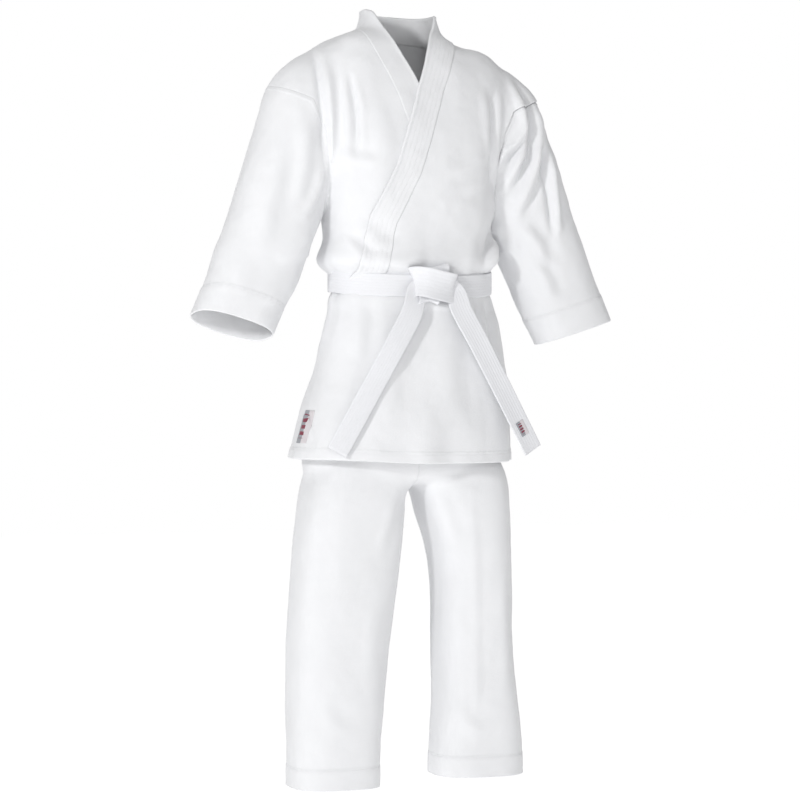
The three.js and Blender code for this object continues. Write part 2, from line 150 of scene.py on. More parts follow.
def resample(rows, count):
    """A smooth curve through rows of numbers, by Catmull-Rom, at equal steps."""
    rows = np.asarray(rows, float)
    padded = np.concatenate([2 * rows[:1] - rows[1:2], rows, 2 * rows[-1:] - rows[-2:-1]])
    at = np.linspace(0, len(rows) - 1, count)
    i = np.minimum(at.astype(int), len(rows) - 2)
    t = (at - i)[:, None]
    p0, p1, p2, p3 = padded[i], padded[i + 1], padded[i + 2], padded[i + 3]
    return 0.5 * (2 * p1 + (p2 - p0) * t + (2 * p0 - 5 * p1 + 4 * p2 - p3) * t**2 + (3 * p1 - p0 - 3 * p2 + p3) * t**3)


class Noise:
    """Smooth random values in space, the same on every run."""

    SIDE = 48

    def __init__(self, seed):
        self.grid = np.random.default_rng(seed).uniform(-1, 1, (self.SIDE,) * 3)

    def __call__(self, places, scale):
        p = places / np.asarray(scale) + 1000.0
        base = np.floor(p).astype(int)
        f = p - base
        f = f * f * (3 - 2 * f)
        total = 0
        for corner in np.ndindex(2, 2, 2):
            i, j, k = ((base + corner) % self.SIDE).T
            weight = np.prod(np.where(corner, f, 1 - f), axis=1)
            total = total + weight * self.grid[i, j, k]
        return total


def polyline_distance(points, line):
    """Distance to a line in a plane, positive on its left, and how far along the line the nearest point is."""
    line = np.asarray(line, float)
    best = np.full(len(points), np.inf)
    signed = np.zeros(len(points))
    along = np.zeros(len(points))
    run = 0.0
    for a, b in zip(line[:-1], line[1:]):
        d = b - a
        length = np.hypot(*d)
        r = points - a
        t = np.clip(r @ d / length**2, 0, 1)
        gap = r - t[:, None] * d
        distance = np.hypot(gap[:, 0], gap[:, 1])
        nearer = distance < best
        side = np.sign(d[0] * r[:, 1] - d[1] * r[:, 0])
        best = np.where(nearer, distance, best)
        signed = np.where(nearer, side * distance, signed)
        along = np.where(nearer, run + t * length, along)
        run += length
    return signed, along


# ---- Sheets as arrays ----------------------------------------------------------------------------


def vertex_normals(places, triangles):
    a, b, c = (places[triangles[:, i]] for i in range(3))
    faces = np.cross(b - a, c - a)
    normals = np.zeros_like(places)
    for i in range(3):
        for axis in range(3):
            normals[:, axis] += np.bincount(triangles[:, i], faces[:, axis], len(places))
    return normals / np.maximum(np.linalg.norm(normals, axis=1, keepdims=True), 1e-12)


def relaxed(places, triangles, rounds, share=0.5):
    """Evens a surface out by moving each vertex towards its neighbours' mean; share may differ by vertex."""
    share = np.broadcast_to(np.asarray(share, float), len(places))[:, None]
    edges = np.concatenate([triangles[:, [0, 1]], triangles[:, [1, 2]], triangles[:, [2, 0]]])
    i, j = edges.T
    count = np.bincount(i, minlength=len(places))[:, None]
    for _ in range(rounds):
        mean = np.stack([np.bincount(i, places[j, axis], len(places)) for axis in range(3)], axis=1)
        places = places + share * (mean / np.maximum(count, 1) - places)
    return places


def compact(rows, triangles):
    used, inverse = np.unique(triangles, return_inverse=True)
    return rows[used], inverse.reshape(triangles.shape)


def cut(rows, triangles, values, keep_both=False):
    """Splits the triangles along values = 0, and drops the negative side unless keep_both."""
    n = len(rows)
    inside = values >= 0
    count = inside[triangles].sum(1)
    kept = [triangles[(count == 3) | (keep_both & (count == 0))]]
    crossed = triangles[(count == 1) | (count == 2)]
    one_in = inside[crossed].sum(1) == 1
    lone = np.where(one_in[:, None], inside[crossed], ~inside[crossed]).argmax(1)
    crossed = np.take_along_axis(crossed, (lone[:, None] + np.arange(3)) % 3, 1)
    a, b, c = crossed.T
    pairs = np.concatenate([np.stack([a, b], 1), np.stack([a, c], 1)])
    keys, inverse = np.unique(np.sort(pairs, 1) @ np.array([n, 1]), return_inverse=True)
    low, high = keys // n, keys % n
    share = (values[low] / (values[low] - values[high]))[:, None]
    rows = np.concatenate([rows, rows[low] + share * (rows[high] - rows[low])])
    ab, ac = n + inverse[: len(crossed)], n + inverse[len(crossed) :]
    tip = np.stack([a, ab, ac], 1)
    rest = np.concatenate([np.stack([ab, b, c], 1), np.stack([ab, c, ac], 1)])
    if keep_both:
        kept += [tip, rest]
    else:
        kept += [tip[one_in], rest[np.tile(~one_in, 2)]]
    return compact(rows, np.concatenate(kept))


def score(rows, triangles, values_of, levels):
    """Adds edges along several levels of a field, so that a step there is crisp."""
    for level in levels:
        rows, triangles = cut(rows, triangles, values_of(rows) - level, keep_both=True)
    return rows, triangles


def rims(triangles):
    """Directed edges that only one triangle has."""
    n = triangles.max() + 1
    edges = np.concatenate([triangles[:, [0, 1]], triangles[:, [1, 2]], triangles[:, [2, 0]]])
    keys = edges @ np.array([n, 1])
    return edges[~np.isin(keys, edges[:, ::-1] @ np.array([n, 1]))]


def walled(rows, triangles, inner, outer, bulge=0.45):
    """Places, triangles and weave coordinates of a closed cloth between two offsets, with rounded rims."""
    places, normals = rows[:, PLACE], rows[:, NORMAL]
    inner = np.broadcast_to(np.asarray(inner, float), len(rows))[:, None]
    outer = np.broadcast_to(np.asarray(outer, float), len(rows))[:, None]
    edge = rims(triangles)
    n = len(rows)
    i, j = edge.T
    around = np.cross(places[j] - places[i], normals[i])
    around /= np.maximum(np.linalg.norm(around, axis=1, keepdims=True), 1e-12)
    push = np.zeros((n, 3))
    for k in (i, j):
        for axis in range(3):
            push[:, axis] += np.bincount(k, around[:, axis], n)
    push /= np.maximum(np.linalg.norm(push, axis=1, keepdims=True), 1e-12)
    rim_ids = np.unique(edge)
    slot_of = np.zeros(n, int)
    slot_of[rim_ids] = 2 * n + np.arange(len(rim_ids))
    middle = places + normals * (inner + outer) / 2 + push * (outer - inner) * bulge
    points = np.concatenate([places + normals * outer, places + normals * inner, middle[rim_ids]])
    mi, mj = slot_of[i], slot_of[j]
    wall = [(n + i, n + j, mj), (n + i, mj, mi), (mi, mj, j), (mi, j, i)]
    faces = np.concatenate([triangles, n + triangles[:, ::-1]] + [np.stack(w, 1) for w in wall])
    weave = np.concatenate([rows[:, WEAVE], rows[:, WEAVE], rows[rim_ids][:, WEAVE]])
    return points, faces, weave


def isolines(rows, triangles, values):
    """Ordered rows along values = 0, one array for each run."""
    n = len(rows)
    inside = values >= 0
    count = inside[triangles].sum(1)
    crossed = triangles[(count == 1) | (count == 2)]
    if not len(crossed):
        return []
    lone = np.where((inside[crossed].sum(1) == 1)[:, None], inside[crossed], ~inside[crossed]).argmax(1)
    crossed = np.take_along_axis(crossed, (lone[:, None] + np.arange(3)) % 3, 1)
    pairs = np.concatenate([crossed[:, [0, 1]], crossed[:, [0, 2]]])
    keys, inverse = np.unique(np.sort(pairs, 1) @ np.array([n, 1]), return_inverse=True)
    low, high = keys // n, keys % n
    share = (values[low] / (values[low] - values[high]))[:, None]
    nodes = rows[low] + share * (rows[high] - rows[low])
    links = {}
    half = len(crossed)
    for p, q in zip(inverse[:half].tolist(), inverse[half:].tolist()):
        links.setdefault(p, []).append(q)
        links.setdefault(q, []).append(p)
    runs, seen = [], set()
    for start in sorted(links, key=lambda k: (len(links[k]), k)):
        if start in seen:
            continue
        chain = [start]
        seen.add(start)
        while True:
            following = [k for k in links[chain[-1]] if k not in seen]
            if not following:
                break
            chain.append(following[0])
            seen.add(following[0])
        if len(chain) > 4:
            runs.append(nodes[chain])
    return runs


def make_object(name, points, faces, material, weave=None, smooth=True):
    mesh = bpy.data.meshes.new(name)
    mesh.from_pydata(np.asarray(points).tolist(), [], np.asarray(faces).tolist())
    if weave is not None:
        layer = mesh.uv_layers.new(name="Weave")
        corners = np.zeros(len(mesh.loops), np.int32)
        mesh.loops.foreach_get("vertex_index", corners)
        layer.data.foreach_set("uv", np.asarray(weave, np.float32)[corners].ravel())
    mesh.materials.append(material)
    if smooth:
        mesh.shade_smooth()
    mesh.validate()
    piece = bpy.data.objects.new(name, mesh)
    bpy.context.collection.objects.link(piece)
    return piece


def remove_object(piece):
    mesh = piece.data
    bpy.data.objects.remove(piece)
    bpy.data.meshes.remove(mesh)


def loft_faces(rings, count):
    """Triangles between rings of equal count, with both ends closed by a fan."""
    faces = []
    for r in range(rings - 1):
        i = np.arange(count)
        j = (i + 1) % count
        a, b, c, d = r * count + i, r * count + j, (r + 1) * count + j, (r + 1) * count + i
        faces += [np.stack([a, b, c], 1), np.stack([a, c, d], 1)]
    i = np.arange(count)
    j = (i + 1) % count
    low, high = rings * count, rings * count + 1
    top = (rings - 1) * count
    faces.append(np.stack([np.full(count, low), j, i], 1))
    faces.append(np.stack([np.full(count, high), top + i, top + j], 1))
    return np.concatenate(faces)


def closed_loft(rings):
    rings = np.asarray(rings)
    ends = [rings[0].mean(0), rings[-1].mean(0)]
    return np.concatenate([rings.reshape(-1, 3), ends]), loft_faces(len(rings), rings.shape[1])


def fused(parts, voxel, rounds):
    """Joins closed forms that pass into each other to one even surface: places and triangles."""
    points = np.concatenate([p for p, _ in parts])
    starts = np.cumsum([0] + [len(p) for p, _ in parts])
    faces = np.concatenate([f + s for (_, f), s in zip(parts, starts)])
    form = make_object("form", points, faces, bpy.data.materials.new("form"))
    remesh = form.modifiers.new("remesh", "REMESH")
    remesh.mode = "VOXEL"
    remesh.voxel_size = voxel
    mesh = bpy.data.meshes.new_from_object(form.evaluated_get(bpy.context.evaluated_depsgraph_get()))
    mesh.calc_loop_triangles()
    places = np.zeros(len(mesh.vertices) * 3)
    mesh.vertices.foreach_get("co", places)
    triangles = np.zeros(len(mesh.loop_triangles) * 3, np.int32)
    mesh.loop_triangles.foreach_get("vertices", triangles)
    bpy.data.meshes.remove(mesh)
    remove_object(form)
    triangles = triangles.reshape(-1, 3).astype(np.int64)
    return relaxed(places.reshape(-1, 3), triangles, rounds), triangles


# ---- The forms that the cloth hangs on -----------------------------------------------------------


def section_ring(x, y, z, a, b, power=SECTION_POWER, shift=0.0):
    turn = np.linspace(0, 2 * math.pi, RING, endpoint=False) + shift
    c, s = np.cos(turn), np.sin(turn)
    blunt = lambda v: np.sign(v) * np.abs(v) ** (2 / power)
    return np.stack([x + a * blunt(c), y + b * blunt(s), np.full(RING, z)], 1)


def torso_rows():
    """Stations z, x, y, a, b of the jacket's body, from below the hem up through the neck."""
    body = node_triangles(
        ["right_front_panel", "right_back_panel", "left_back_panel", "right_back_skirt", "left_back_skirt"]
    )
    levels = [HEM_Z + 0.002, -0.71, -0.65, -0.60, -0.55, -0.51, -0.48, -0.465, BELT_Z, -0.429, -0.419, -0.409, -0.395]
    levels += [-0.375, -0.35, -0.32, -0.29, -0.26]
    rows = []
    for z in levels:
        low, high = level_section(body, z)
        middle = (low + high) / 2
        half = (high - low) / 2
        rows.append([z, middle[0], middle[1], half[0], half[1]])
    for row in rows:
        puff = BLOUSE * math.exp(-(((row[0] - BLOUSE_Z) / 0.028) ** 2))
        row[1] -= 0.2 * puff
        row[3] += puff
        row[4] += 0.35 * puff
    hem = rows[0]
    rows.insert(0, [HEM_Z - 0.05, *hem[1:3], hem[3] + 0.004, hem[4] + 0.001])
    chest, shoulder = rows[-1], SHOULDER_HALF
    rows += [
        [-0.19, 0.003, -0.006, (chest[3] + shoulder) / 2 - 0.004, 0.112],
        [-0.13, 0.001, -0.004, shoulder - 0.008, 0.103],
        [-0.088, 0, -0.002, shoulder - 0.003, 0.094],
        [-0.064, 0, 0, shoulder - 0.005, 0.089],
        [-0.048, 0, 0.002, shoulder - 0.017, 0.084],
        [-0.030, 0, 0.003, shoulder - 0.037, 0.078],
        [-0.018, 0, 0.004, shoulder - 0.071, 0.071],
        [-0.008, 0, 0.005, 0.089, 0.066],
        [0.000, 0, 0.006, 0.075, 0.062],
        [0.010, 0, 0.006, 0.070, 0.061],
        [COLLAR_TOP, 0, 0.008, 0.064, 0.057],
        [COLLAR_TOP + 0.03, 0, 0.008, 0.059, 0.052],
    ]
    return np.array(rows)


def torso_form():
    rows = torso_rows()
    z_even = resample(rows, 90)
    return closed_loft([section_ring(x, y, z, a, b) for z, x, y, a, b in z_even])


class Arm:
    """The line and the girths of one sleeve; side is -1 for the wearer's right."""

    def __init__(self, side):
        self.side = side
        name = "right" if side < 0 else "left"
        cuff = box_middle(name + "_cuff_hem")
        self.top = Vector((ARM_PIVOT.x * side, 0, ARM_PIVOT.z + 0.040))
        self.end = Vector((cuff.x + side * 0.0088, 0, cuff.z - 0.0145))
        self.length = (self.end - self.top).length

    def middle(self, share):
        x = self.top.x + (self.end.x - self.top.x) * np.clip(share, 0, None) ** 1.45
        return np.array([x, -0.010 * max(share, 0), self.top.z + (self.end.z - self.top.z) * share])

    def form(self):
        girths = np.array(
            [[1.12, 0.073, 0.053], [1.0, 0.073, 0.054], [0.8, 0.076, 0.060], [0.6, 0.079, 0.067], [0.4, 0.080, 0.073],
             [0.25, 0.075, 0.076], [0.12, 0.071, 0.075], [0.03, 0.067, 0.070], [-0.04, 0.052, 0.058], [-0.09, 0.034, 0.044],
             [-0.13, 0.014, 0.024]]
        )
        rings = []
        for share, w, d in resample(girths, 60):
            ahead, behind = self.middle(share - 0.02), self.middle(share + 0.02)
            up = ahead - behind
            up = np.array([up[0], 0, up[2]]) / np.hypot(up[0], up[2])
            across = np.array([up[2], 0, -up[0]])
            turn = np.linspace(0, 2 * math.pi, RING, endpoint=False)
            c, s = np.cos(turn), np.sin(turn)
            blunt = lambda v: np.sign(v) * np.abs(v) ** (2 / ARM_POWER)
            rings.append(
                self.middle(share) + np.outer(w * blunt(c), across) + np.outer(d * blunt(s), np.array([0, 1.0, 0]))
            )
        return closed_loft(rings)

    def coordinates(self, places):
        """Share along the sleeve and turn round it."""
        axis = np.array(self.end - self.top)
        share = (places - np.array(self.top)) @ axis / self.length**2
        direction = axis / self.length
        across = np.array([-direction[2], 0, direction[0]]) * 1.0
        off = places - np.array(self.top) - np.outer(share, axis)
        return share, np.arctan2(off[:, 1], off @ across)

    def along(self, places):
        """Distance up from the cuff's edge, which dips at the back."""
        direction = np.array(self.end - self.top) / self.length
        lean = 0.26 if self.side < 0 else 0.05
        longer = 0.0 if self.side < 0 else 0.010
        return longer - ((places - np.array(self.end)) @ direction - lean * places[:, 1])


# One leg hangs square to the front and the other a little turned: z, x of the middle, half breadth.
RIGHT_LEG = [
    (TROUSER_HEM_Z - 0.04, -0.133, 0.081), (-1.31, -0.1325, 0.0815), (-1.20, -0.1295, 0.086),
    (-1.09, -0.122, 0.090), (-1.00, -0.114, 0.0925), (-0.93, -0.107, 0.094), (-0.85, -0.099, 0.093),
    (-0.80, -0.091, 0.090), (-0.745, -0.080, 0.078),
]
LEFT_LEG = [
    (TROUSER_HEM_Z - 0.04, 0.138, 0.084), (-1.31, 0.138, 0.082), (-1.25, 0.138, 0.0785),
    (-1.19, 0.136, 0.0725), (-1.09, 0.131, 0.0685), (-1.00, 0.130, 0.0685), (-0.93, 0.1235, 0.0705),
    (-0.86, 0.112, 0.081), (-0.80, 0.100, 0.086), (-0.745, 0.080, 0.078),
]


def trouser_forms():
    hips = node_triangles(["right_hip_panel", "left_hip_panel"])
    rows = []
    for z in (-0.71, -0.67, -0.63, -0.59, -0.55, -0.51, -0.47, WAIST_TOP - 0.004):
        low, high = level_section(hips, z)
        middle, half = (low + high) / 2, (high - low) / 2
        rows.append([z, middle[0], middle[1], half[0], half[1]])
    seat = rows[0]
    rows.insert(0, [-0.76, -0.004, -0.004, seat[3] + 0.006, seat[4] - 0.006])
    rows.insert(0, [-0.806, -0.003, -0.004, seat[3] + 0.002, seat[4] - 0.018])
    top = rows[-1]
    rows.append([WAIST_TOP + 0.03, *top[1:]])
    pelvis = closed_loft([section_ring(x, y, z, a, b) for z, x, y, a, b in resample(rows, 50)])
    forms = [pelvis]
    depths = node_triangles(["left_leg", "left_leg_hem"])
    for shape in (RIGHT_LEG, LEFT_LEG):
        stations = []
        for z, x, a in shape:
            low, high = level_section(depths, max(min(z, LEG_PIVOT.z - 0.03), TROUSER_HEM_Z + 0.02))
            stations.append([z, x, (low[1] + high[1]) / 2, a, (high[1] - low[1]) / 2])
        stations[-2][4] -= 0.002
        stations[-1][4] -= 0.008
        rings = [section_ring(x, y, z, a, b, LEG_POWER) for z, x, y, a, b in resample(stations, 70)]
        forms.append(closed_loft(rings))
    return forms


# ---- Folds ---------------------------------------------------------------------------------------


class Fold:
    """A ridge along a line seen from the front or back, with a hollow beside it."""

    def __init__(self, line, width, height, facing=-1, hollow=0.7, y=None):
        self.line = line
        self.width = width
        self.height = height
        self.facing = facing
        self.hollow = hollow
        self.y = y

    def push(self, rest, normals):
        flat = rest[:, [0, 2]]
        line = resample(self.line, 14) if len(self.line) > 2 else np.asarray(self.line, float)
        distance, along = polyline_distance(flat, line)
        total = np.hypot(*np.diff(line, axis=0).T).sum()
        fade = smoothstep(along, 0, total * 0.35) * (1 - smoothstep(along, total * 0.65, total))
        ridge = np.exp(-((distance / self.width) ** 2))
        dip = np.exp(-(((distance - 1.7 * self.width) / (1.15 * self.width)) ** 2))
        seen = smoothstep(normals[:, 1] * self.facing, 0.05, 0.45)
        return self.height * fade * seen * (ridge - self.hollow * dip)


JACKET_FOLDS = [
    # under the wearer's right shoulder
    Fold([(-0.176, -0.025), (-0.176, -0.08), (-0.175, -0.13), (-0.170, -0.19), (-0.164, -0.26)], 0.007, -0.0065, hollow=0.6),
    Fold([(-0.160, -0.05), (-0.156, -0.12), (-0.152, -0.20), (-0.148, -0.29)], 0.008, 0.0045, hollow=0.9),
    Fold([(-0.138, -0.06), (-0.132, -0.16), (-0.130, -0.27)], 0.010, 0.0028),
    Fold([(-0.080, -0.09), (-0.072, -0.20), (-0.080, -0.33)], 0.018, 0.0018),
    Fold([(-0.150, -0.215), (-0.115, -0.235), (-0.07, -0.238)], 0.010, 0.0022),
    # chest, wearer's left
    Fold([(0.150, -0.075), (0.139, -0.15), (0.136, -0.22), (0.142, -0.30)], 0.007, -0.0048, hollow=0.9),
    Fold([(0.120, -0.08), (0.126, -0.17), (0.132, -0.25)], 0.009, 0.0030),
    Fold([(0.132, -0.20), (0.085, -0.245), (0.030, -0.262)], 0.013, 0.0026),
    Fold([(0.140, -0.235), (0.105, -0.275), (0.060, -0.29)], 0.011, 0.0020),
    # towards the belt, wearer's left
    Fold([(0.160, -0.325), (0.142, -0.375), (0.108, -0.425)], 0.008, -0.0060, hollow=1.0),
    Fold([(0.157, -0.355), (0.146, -0.390), (0.128, -0.428)], 0.006, 0.0045),
    Fold([(0.130, -0.31), (0.105, -0.365), (0.075, -0.42)], 0.014, 0.0030),
    # towards the belt, wearer's right
    Fold([(-0.135, -0.36), (-0.112, -0.395), (-0.085, -0.425)], 0.009, 0.0032),
    Fold([(-0.125, -0.335), (-0.085, -0.378), (-0.035, -0.40)], 0.013, 0.0024),
    Fold([(-0.095, -0.405), (-0.04, -0.418), (0.01, -0.405)], 0.009, 0.0022),
    # skirt
    Fold([(-0.05, -0.48), (-0.065, -0.58), (-0.085, -0.72)], 0.026, 0.0035),
    Fold([(0.035, -0.48), (0.045, -0.60), (0.052, -0.74)], 0.024, 0.0030, hollow=0.8),
    Fold([(0.112, -0.478), (0.120, -0.52), (0.124, -0.58)], 0.007, 0.0050, hollow=1.1),
    Fold([(0.086, -0.478), (0.094, -0.51), (0.098, -0.55)], 0.007, 0.0034),
    Fold([(0.140, -0.478), (0.150, -0.54), (0.160, -0.66)], 0.010, 0.0042),
    Fold([(-0.098, -0.478), (-0.108, -0.53), (-0.115, -0.60)], 0.012, 0.0032),
    Fold([(0.015, -0.490), (0.045, -0.494), (0.075, -0.487)], 0.006, 0.0022),
    # wearer's left sleeve: long folds from the shoulder towards the armpit
    Fold([(-0.128, -0.080), (-0.122, -0.120), (-0.117, -0.170), (-0.120, -0.240)], 0.006, -0.0060, hollow=0.5),
    Fold([(0.180, -0.060), (0.202, -0.120), (0.209, -0.190), (0.192, -0.242), (0.160, -0.305)], 0.008, 0.0110, hollow=1.2),
    Fold([(0.208, -0.150), (0.194, -0.192), (0.172, -0.214), (0.158, -0.255)], 0.007, 0.0085, hollow=1.1),
    Fold([(0.232, -0.150), (0.238, -0.200), (0.222, -0.265), (0.185, -0.345)], 0.009, 0.0080, hollow=0.9),
    Fold([(0.243, -0.180), (0.254, -0.265), (0.268, -0.380)], 0.007, -0.0095, hollow=0.9),
    Fold([(0.222, -0.10), (0.244, -0.16), (0.262, -0.23)], 0.011, 0.0050),
    Fold([(0.200, -0.345), (0.232, -0.375), (0.258, -0.428)], 0.012, 0.0042),
    Fold([(0.215, -0.400), (0.250, -0.44), (0.272, -0.49)], 0.011, 0.0030),
    Fold([(0.172, -0.335), (0.178, -0.375), (0.196, -0.415)], 0.009, 0.0048),
    # wearer's right sleeve: long and quiet
    Fold([(-0.200, -0.135), (-0.206, -0.23), (-0.225, -0.33)], 0.014, 0.0034),
    Fold([(-0.240, -0.16), (-0.262, -0.28), (-0.292, -0.42)], 0.017, 0.0030),
    Fold([(-0.165, -0.24), (-0.185, -0.30), (-0.215, -0.345)], 0.010, 0.0042),
    Fold([(-0.178, -0.36), (-0.215, -0.40), (-0.262, -0.415)], 0.013, 0.0030),
    Fold([(-0.200, -0.44), (-0.240, -0.475), (-0.290, -0.485)], 0.012, 0.0022),
    # back
    Fold([(-0.16, -0.13), (-0.11, -0.20), (-0.07, -0.30)], 0.016, 0.0045, facing=1),
    Fold([(0.16, -0.13), (0.12, -0.21), (0.09, -0.32)], 0.016, 0.0045, facing=1),
    Fold([(0.04, -0.06), (0.05, -0.20), (0.035, -0.36)], 0.022, 0.0026, facing=1),
    Fold([(-0.10, -0.30), (-0.05, -0.37), (0.02, -0.41)], 0.013, 0.0034, facing=1),
    Fold([(0.13, -0.32), (0.09, -0.38), (0.03, -0.42)], 0.012, 0.0032, facing=1),
    Fold([(-0.03, -0.48), (-0.045, -0.60), (-0.05, -0.75)], 0.024, 0.0045, facing=1),
    Fold([(0.07, -0.48), (0.09, -0.60), (0.10, -0.74)], 0.022, 0.0042, facing=1),
    Fold([(0.24, -0.17), (0.22, -0.26), (0.19, -0.32)], 0.011, 0.0050, facing=1),
    Fold([(-0.24, -0.17), (-0.22, -0.26), (-0.19, -0.32)], 0.011, 0.0050, facing=1),
    Fold([(0.21, -0.36), (0.25, -0.41), (0.30, -0.44)], 0.013, 0.0034, facing=1),
    Fold([(-0.21, -0.36), (-0.25, -0.41), (-0.30, -0.44)], 0.013, 0.0034, facing=1),
]

TROUSER_FOLDS = [
    Fold([(0.098, -0.77), (0.108, -0.95), (0.114, -1.15), (0.116, -1.34)], 0.009, 0.0026, hollow=0.25),
    Fold([(-0.018, -0.80), (-0.050, -0.86), (-0.075, -0.95)], 0.012, 0.0036),
    Fold([(0.022, -0.80), (0.052, -0.86), (0.072, -0.94)], 0.012, 0.0040),
    Fold([(-0.060, -0.98), (-0.085, -1.08), (-0.080, -1.20)], 0.016, 0.0024),
    Fold([(0.160, -0.95), (0.168, -1.08), (0.172, -1.22)], 0.012, 0.0030),
    Fold([(0.072, -1.02), (0.090, -1.08), (0.118, -1.10)], 0.012, 0.0020),
    Fold([(0.080, -1.20), (0.105, -1.25), (0.150, -1.26)], 0.013, 0.0026),
    Fold([(-0.180, -1.18), (-0.150, -1.24), (-0.100, -1.25)], 0.013, 0.0022),
    Fold([(-0.175, -0.80), (-0.185, -0.92), (-0.190, -1.06)], 0.012, 0.0024),
    Fold([(-0.12, -0.77), (-0.13, -0.95), (-0.135, -1.30)], 0.010, 0.0040, facing=1),
    Fold([(0.11, -0.77), (0.12, -0.95), (0.128, -1.30)], 0.010, 0.0040, facing=1),
    Fold([(-0.04, -0.82), (-0.08, -0.88), (-0.13, -0.92)], 0.012, 0.0044, facing=1),
    Fold([(0.04, -0.82), (0.08, -0.88), (0.13, -0.92)], 0.012, 0.0044, facing=1),
]


def canvas_unrest(noise, rest):
    """The slow swell and small crumple that stiff canvas always has."""
    return (
        0.0024 * noise(rest, (0.085, 0.085, 0.150))
        + 0.0014 * noise(rest + 5, (0.036, 0.036, 0.060))
        + 0.0005 * noise(rest + 9, 0.016)
    )


def uneven_shoulders(places):
    """The wearer's right shoulder hangs a little higher than the left."""
    near_top = smoothstep(places[:, 2], -0.26, -0.05) * (1 - smoothstep(places[:, 2], -0.006, 0.012))
    lift = 0.010 * (smoothstep(-places[:, 0], 0.05, 0.12) - smoothstep(places[:, 0], 0.05, 0.12))
    at_neck = smoothstep(places[:, 2], -0.10, 0.0) * (1 - smoothstep(np.abs(places[:, 0]), 0.08, 0.14))
    tilt = np.clip(places[:, 0], -0.09, 0.09) * at_neck
    return places + np.outer(near_top * lift - 0.07 * tilt, [0, 0, 1]) - np.outer(0.008 * at_neck, [1, 0, 0])


def jacket_push(rest, normals, strength):
    """How far each point of the jacket stands off its form."""
    push = canvas_unrest(Noise(11), rest)
    for fold in JACKET_FOLDS:
        push += fold.push(rest, normals)
    turn = np.arctan2(rest[:, 1], rest[:, 0] - 0.012)
    on_body = np.abs(rest[:, 0]) < 0.185
    pleats = 0.0
    for waves, size, phase in ((9, 1.0, 0.4), (14, 0.8, 1.9), (23, 0.6, 4.1)):
        pleats = pleats + size * np.sin(waves * turn + phase)
    above = np.exp(-np.clip(rest[:, 2] - (BELT_Z + 0.02), 0, None) / 0.035) * (rest[:, 2] > BELT_Z)
    below = np.exp(-np.clip((BELT_Z - 0.02) - rest[:, 2], 0, None) / 0.050) * (rest[:, 2] <= BELT_Z)
    push += on_body * 0.0011 * pleats * (0.7 * above + below)
    lips = np.exp(-(((np.abs(rest[:, 2] - BELT_Z) - 0.034) / 0.016) ** 2))
    push += on_body * 0.0042 * lips
    hem_wave = np.sin(7 * turn + 0.8) + 0.6 * np.sin(12 * turn + 2.2)
    push += on_body * 0.0022 * hem_wave * smoothstep(rest[:, 2], -0.60, HEM_Z)
    return push * strength


def trouser_push(rest, normals, strength):
    push = canvas_unrest(Noise(23), rest)
    for fold in TROUSER_FOLDS:
        push += fold.push(rest, normals)
    turn = np.arctan2(rest[:, 1], rest[:, 0] - 0.012)
    gathers = np.sin(40 * turn) + 0.7 * np.sin(57 * turn + 1.3)
    near_waist = smoothstep(rest[:, 2], WAIST_TOP - 0.16, WAIST_TOP - 0.03)
    push += 0.0012 * gathers * near_waist
    push *= 1 - 0.85 * smoothstep(rest[:, 2], -0.79, -0.73) * (1 - near_waist)
    return push * strength


def shoulder_ease(places):
    """More smoothing where a sleeve runs into the body, so that cloth bridges the joint."""
    side = np.abs(places[:, 0])
    at_joint = smoothstep(side, 0.115, 0.15) * (1 - smoothstep(side, 0.25, 0.28))
    return 0.5 * at_joint * smoothstep(places[:, 2], -0.24, -0.16)


def crotch_ease(places):
    """More smoothing where the two legs meet."""
    near_middle = 1 - smoothstep(np.abs(places[:, 0]), 0.03, 0.07)
    near_crotch = 1 - smoothstep(np.abs(places[:, 2] + 0.80), 0.03, 0.07)
    return 0.5 * near_middle * near_crotch


def folded_sheet(forms, voxel, rounds, ease_of, push_of, settle, strength, weave_of):
    """Rows and triangles of a whole garment, folded."""
    rest, triangles = fused(forms, voxel, rounds)
    rest = relaxed(rest, triangles, 70, ease_of(rest))
    broad = vertex_normals(relaxed(rest, triangles, 8), triangles)
    places = settle(rest + broad * push_of(rest, broad, strength)[:, None])
    places = relaxed(places, triangles, 1, 0.35)
    rows = np.concatenate([places, vertex_normals(places, triangles), rest, weave_of(rest)], 1)
    return rows, triangles


def body_weave(rest):
    turn = np.arctan2(rest[:, 1], rest[:, 0])
    return np.stack([turn * 0.14, rest[:, 2]], 1)


def leg_weave(rest):
    side = np.where(rest[:, 0] < 0, -1.0, 1.0)
    turn = np.arctan2(rest[:, 1], rest[:, 0] - side * 0.115)
    return np.stack([turn * 0.08, rest[:, 2]], 1)


# ---- Materials -----------------------------------------------------------------------------------


class Nodes:
    """Short calls for building one material's node tree."""

    def __init__(self, name):
        self.material = bpy.data.materials.new(name)
        self.material.use_nodes = True
        self.tree = self.material.node_tree
        self.shader = self.tree.nodes["Principled BSDF"]

    def add(self, kind, inputs=None, **settings):
        node = self.tree.nodes.new(kind)
        for key, value in settings.items():
            setattr(node, key, value)
        for key, value in (inputs or {}).items():
            if isinstance(value, bpy.types.NodeSocket):
                self.tree.links.new(value, node.inputs[key])
            else:
                node.inputs[key].default_value = value
        return node

    def link(self, value, socket):
        self.tree.links.new(value, self.shader.inputs[socket])


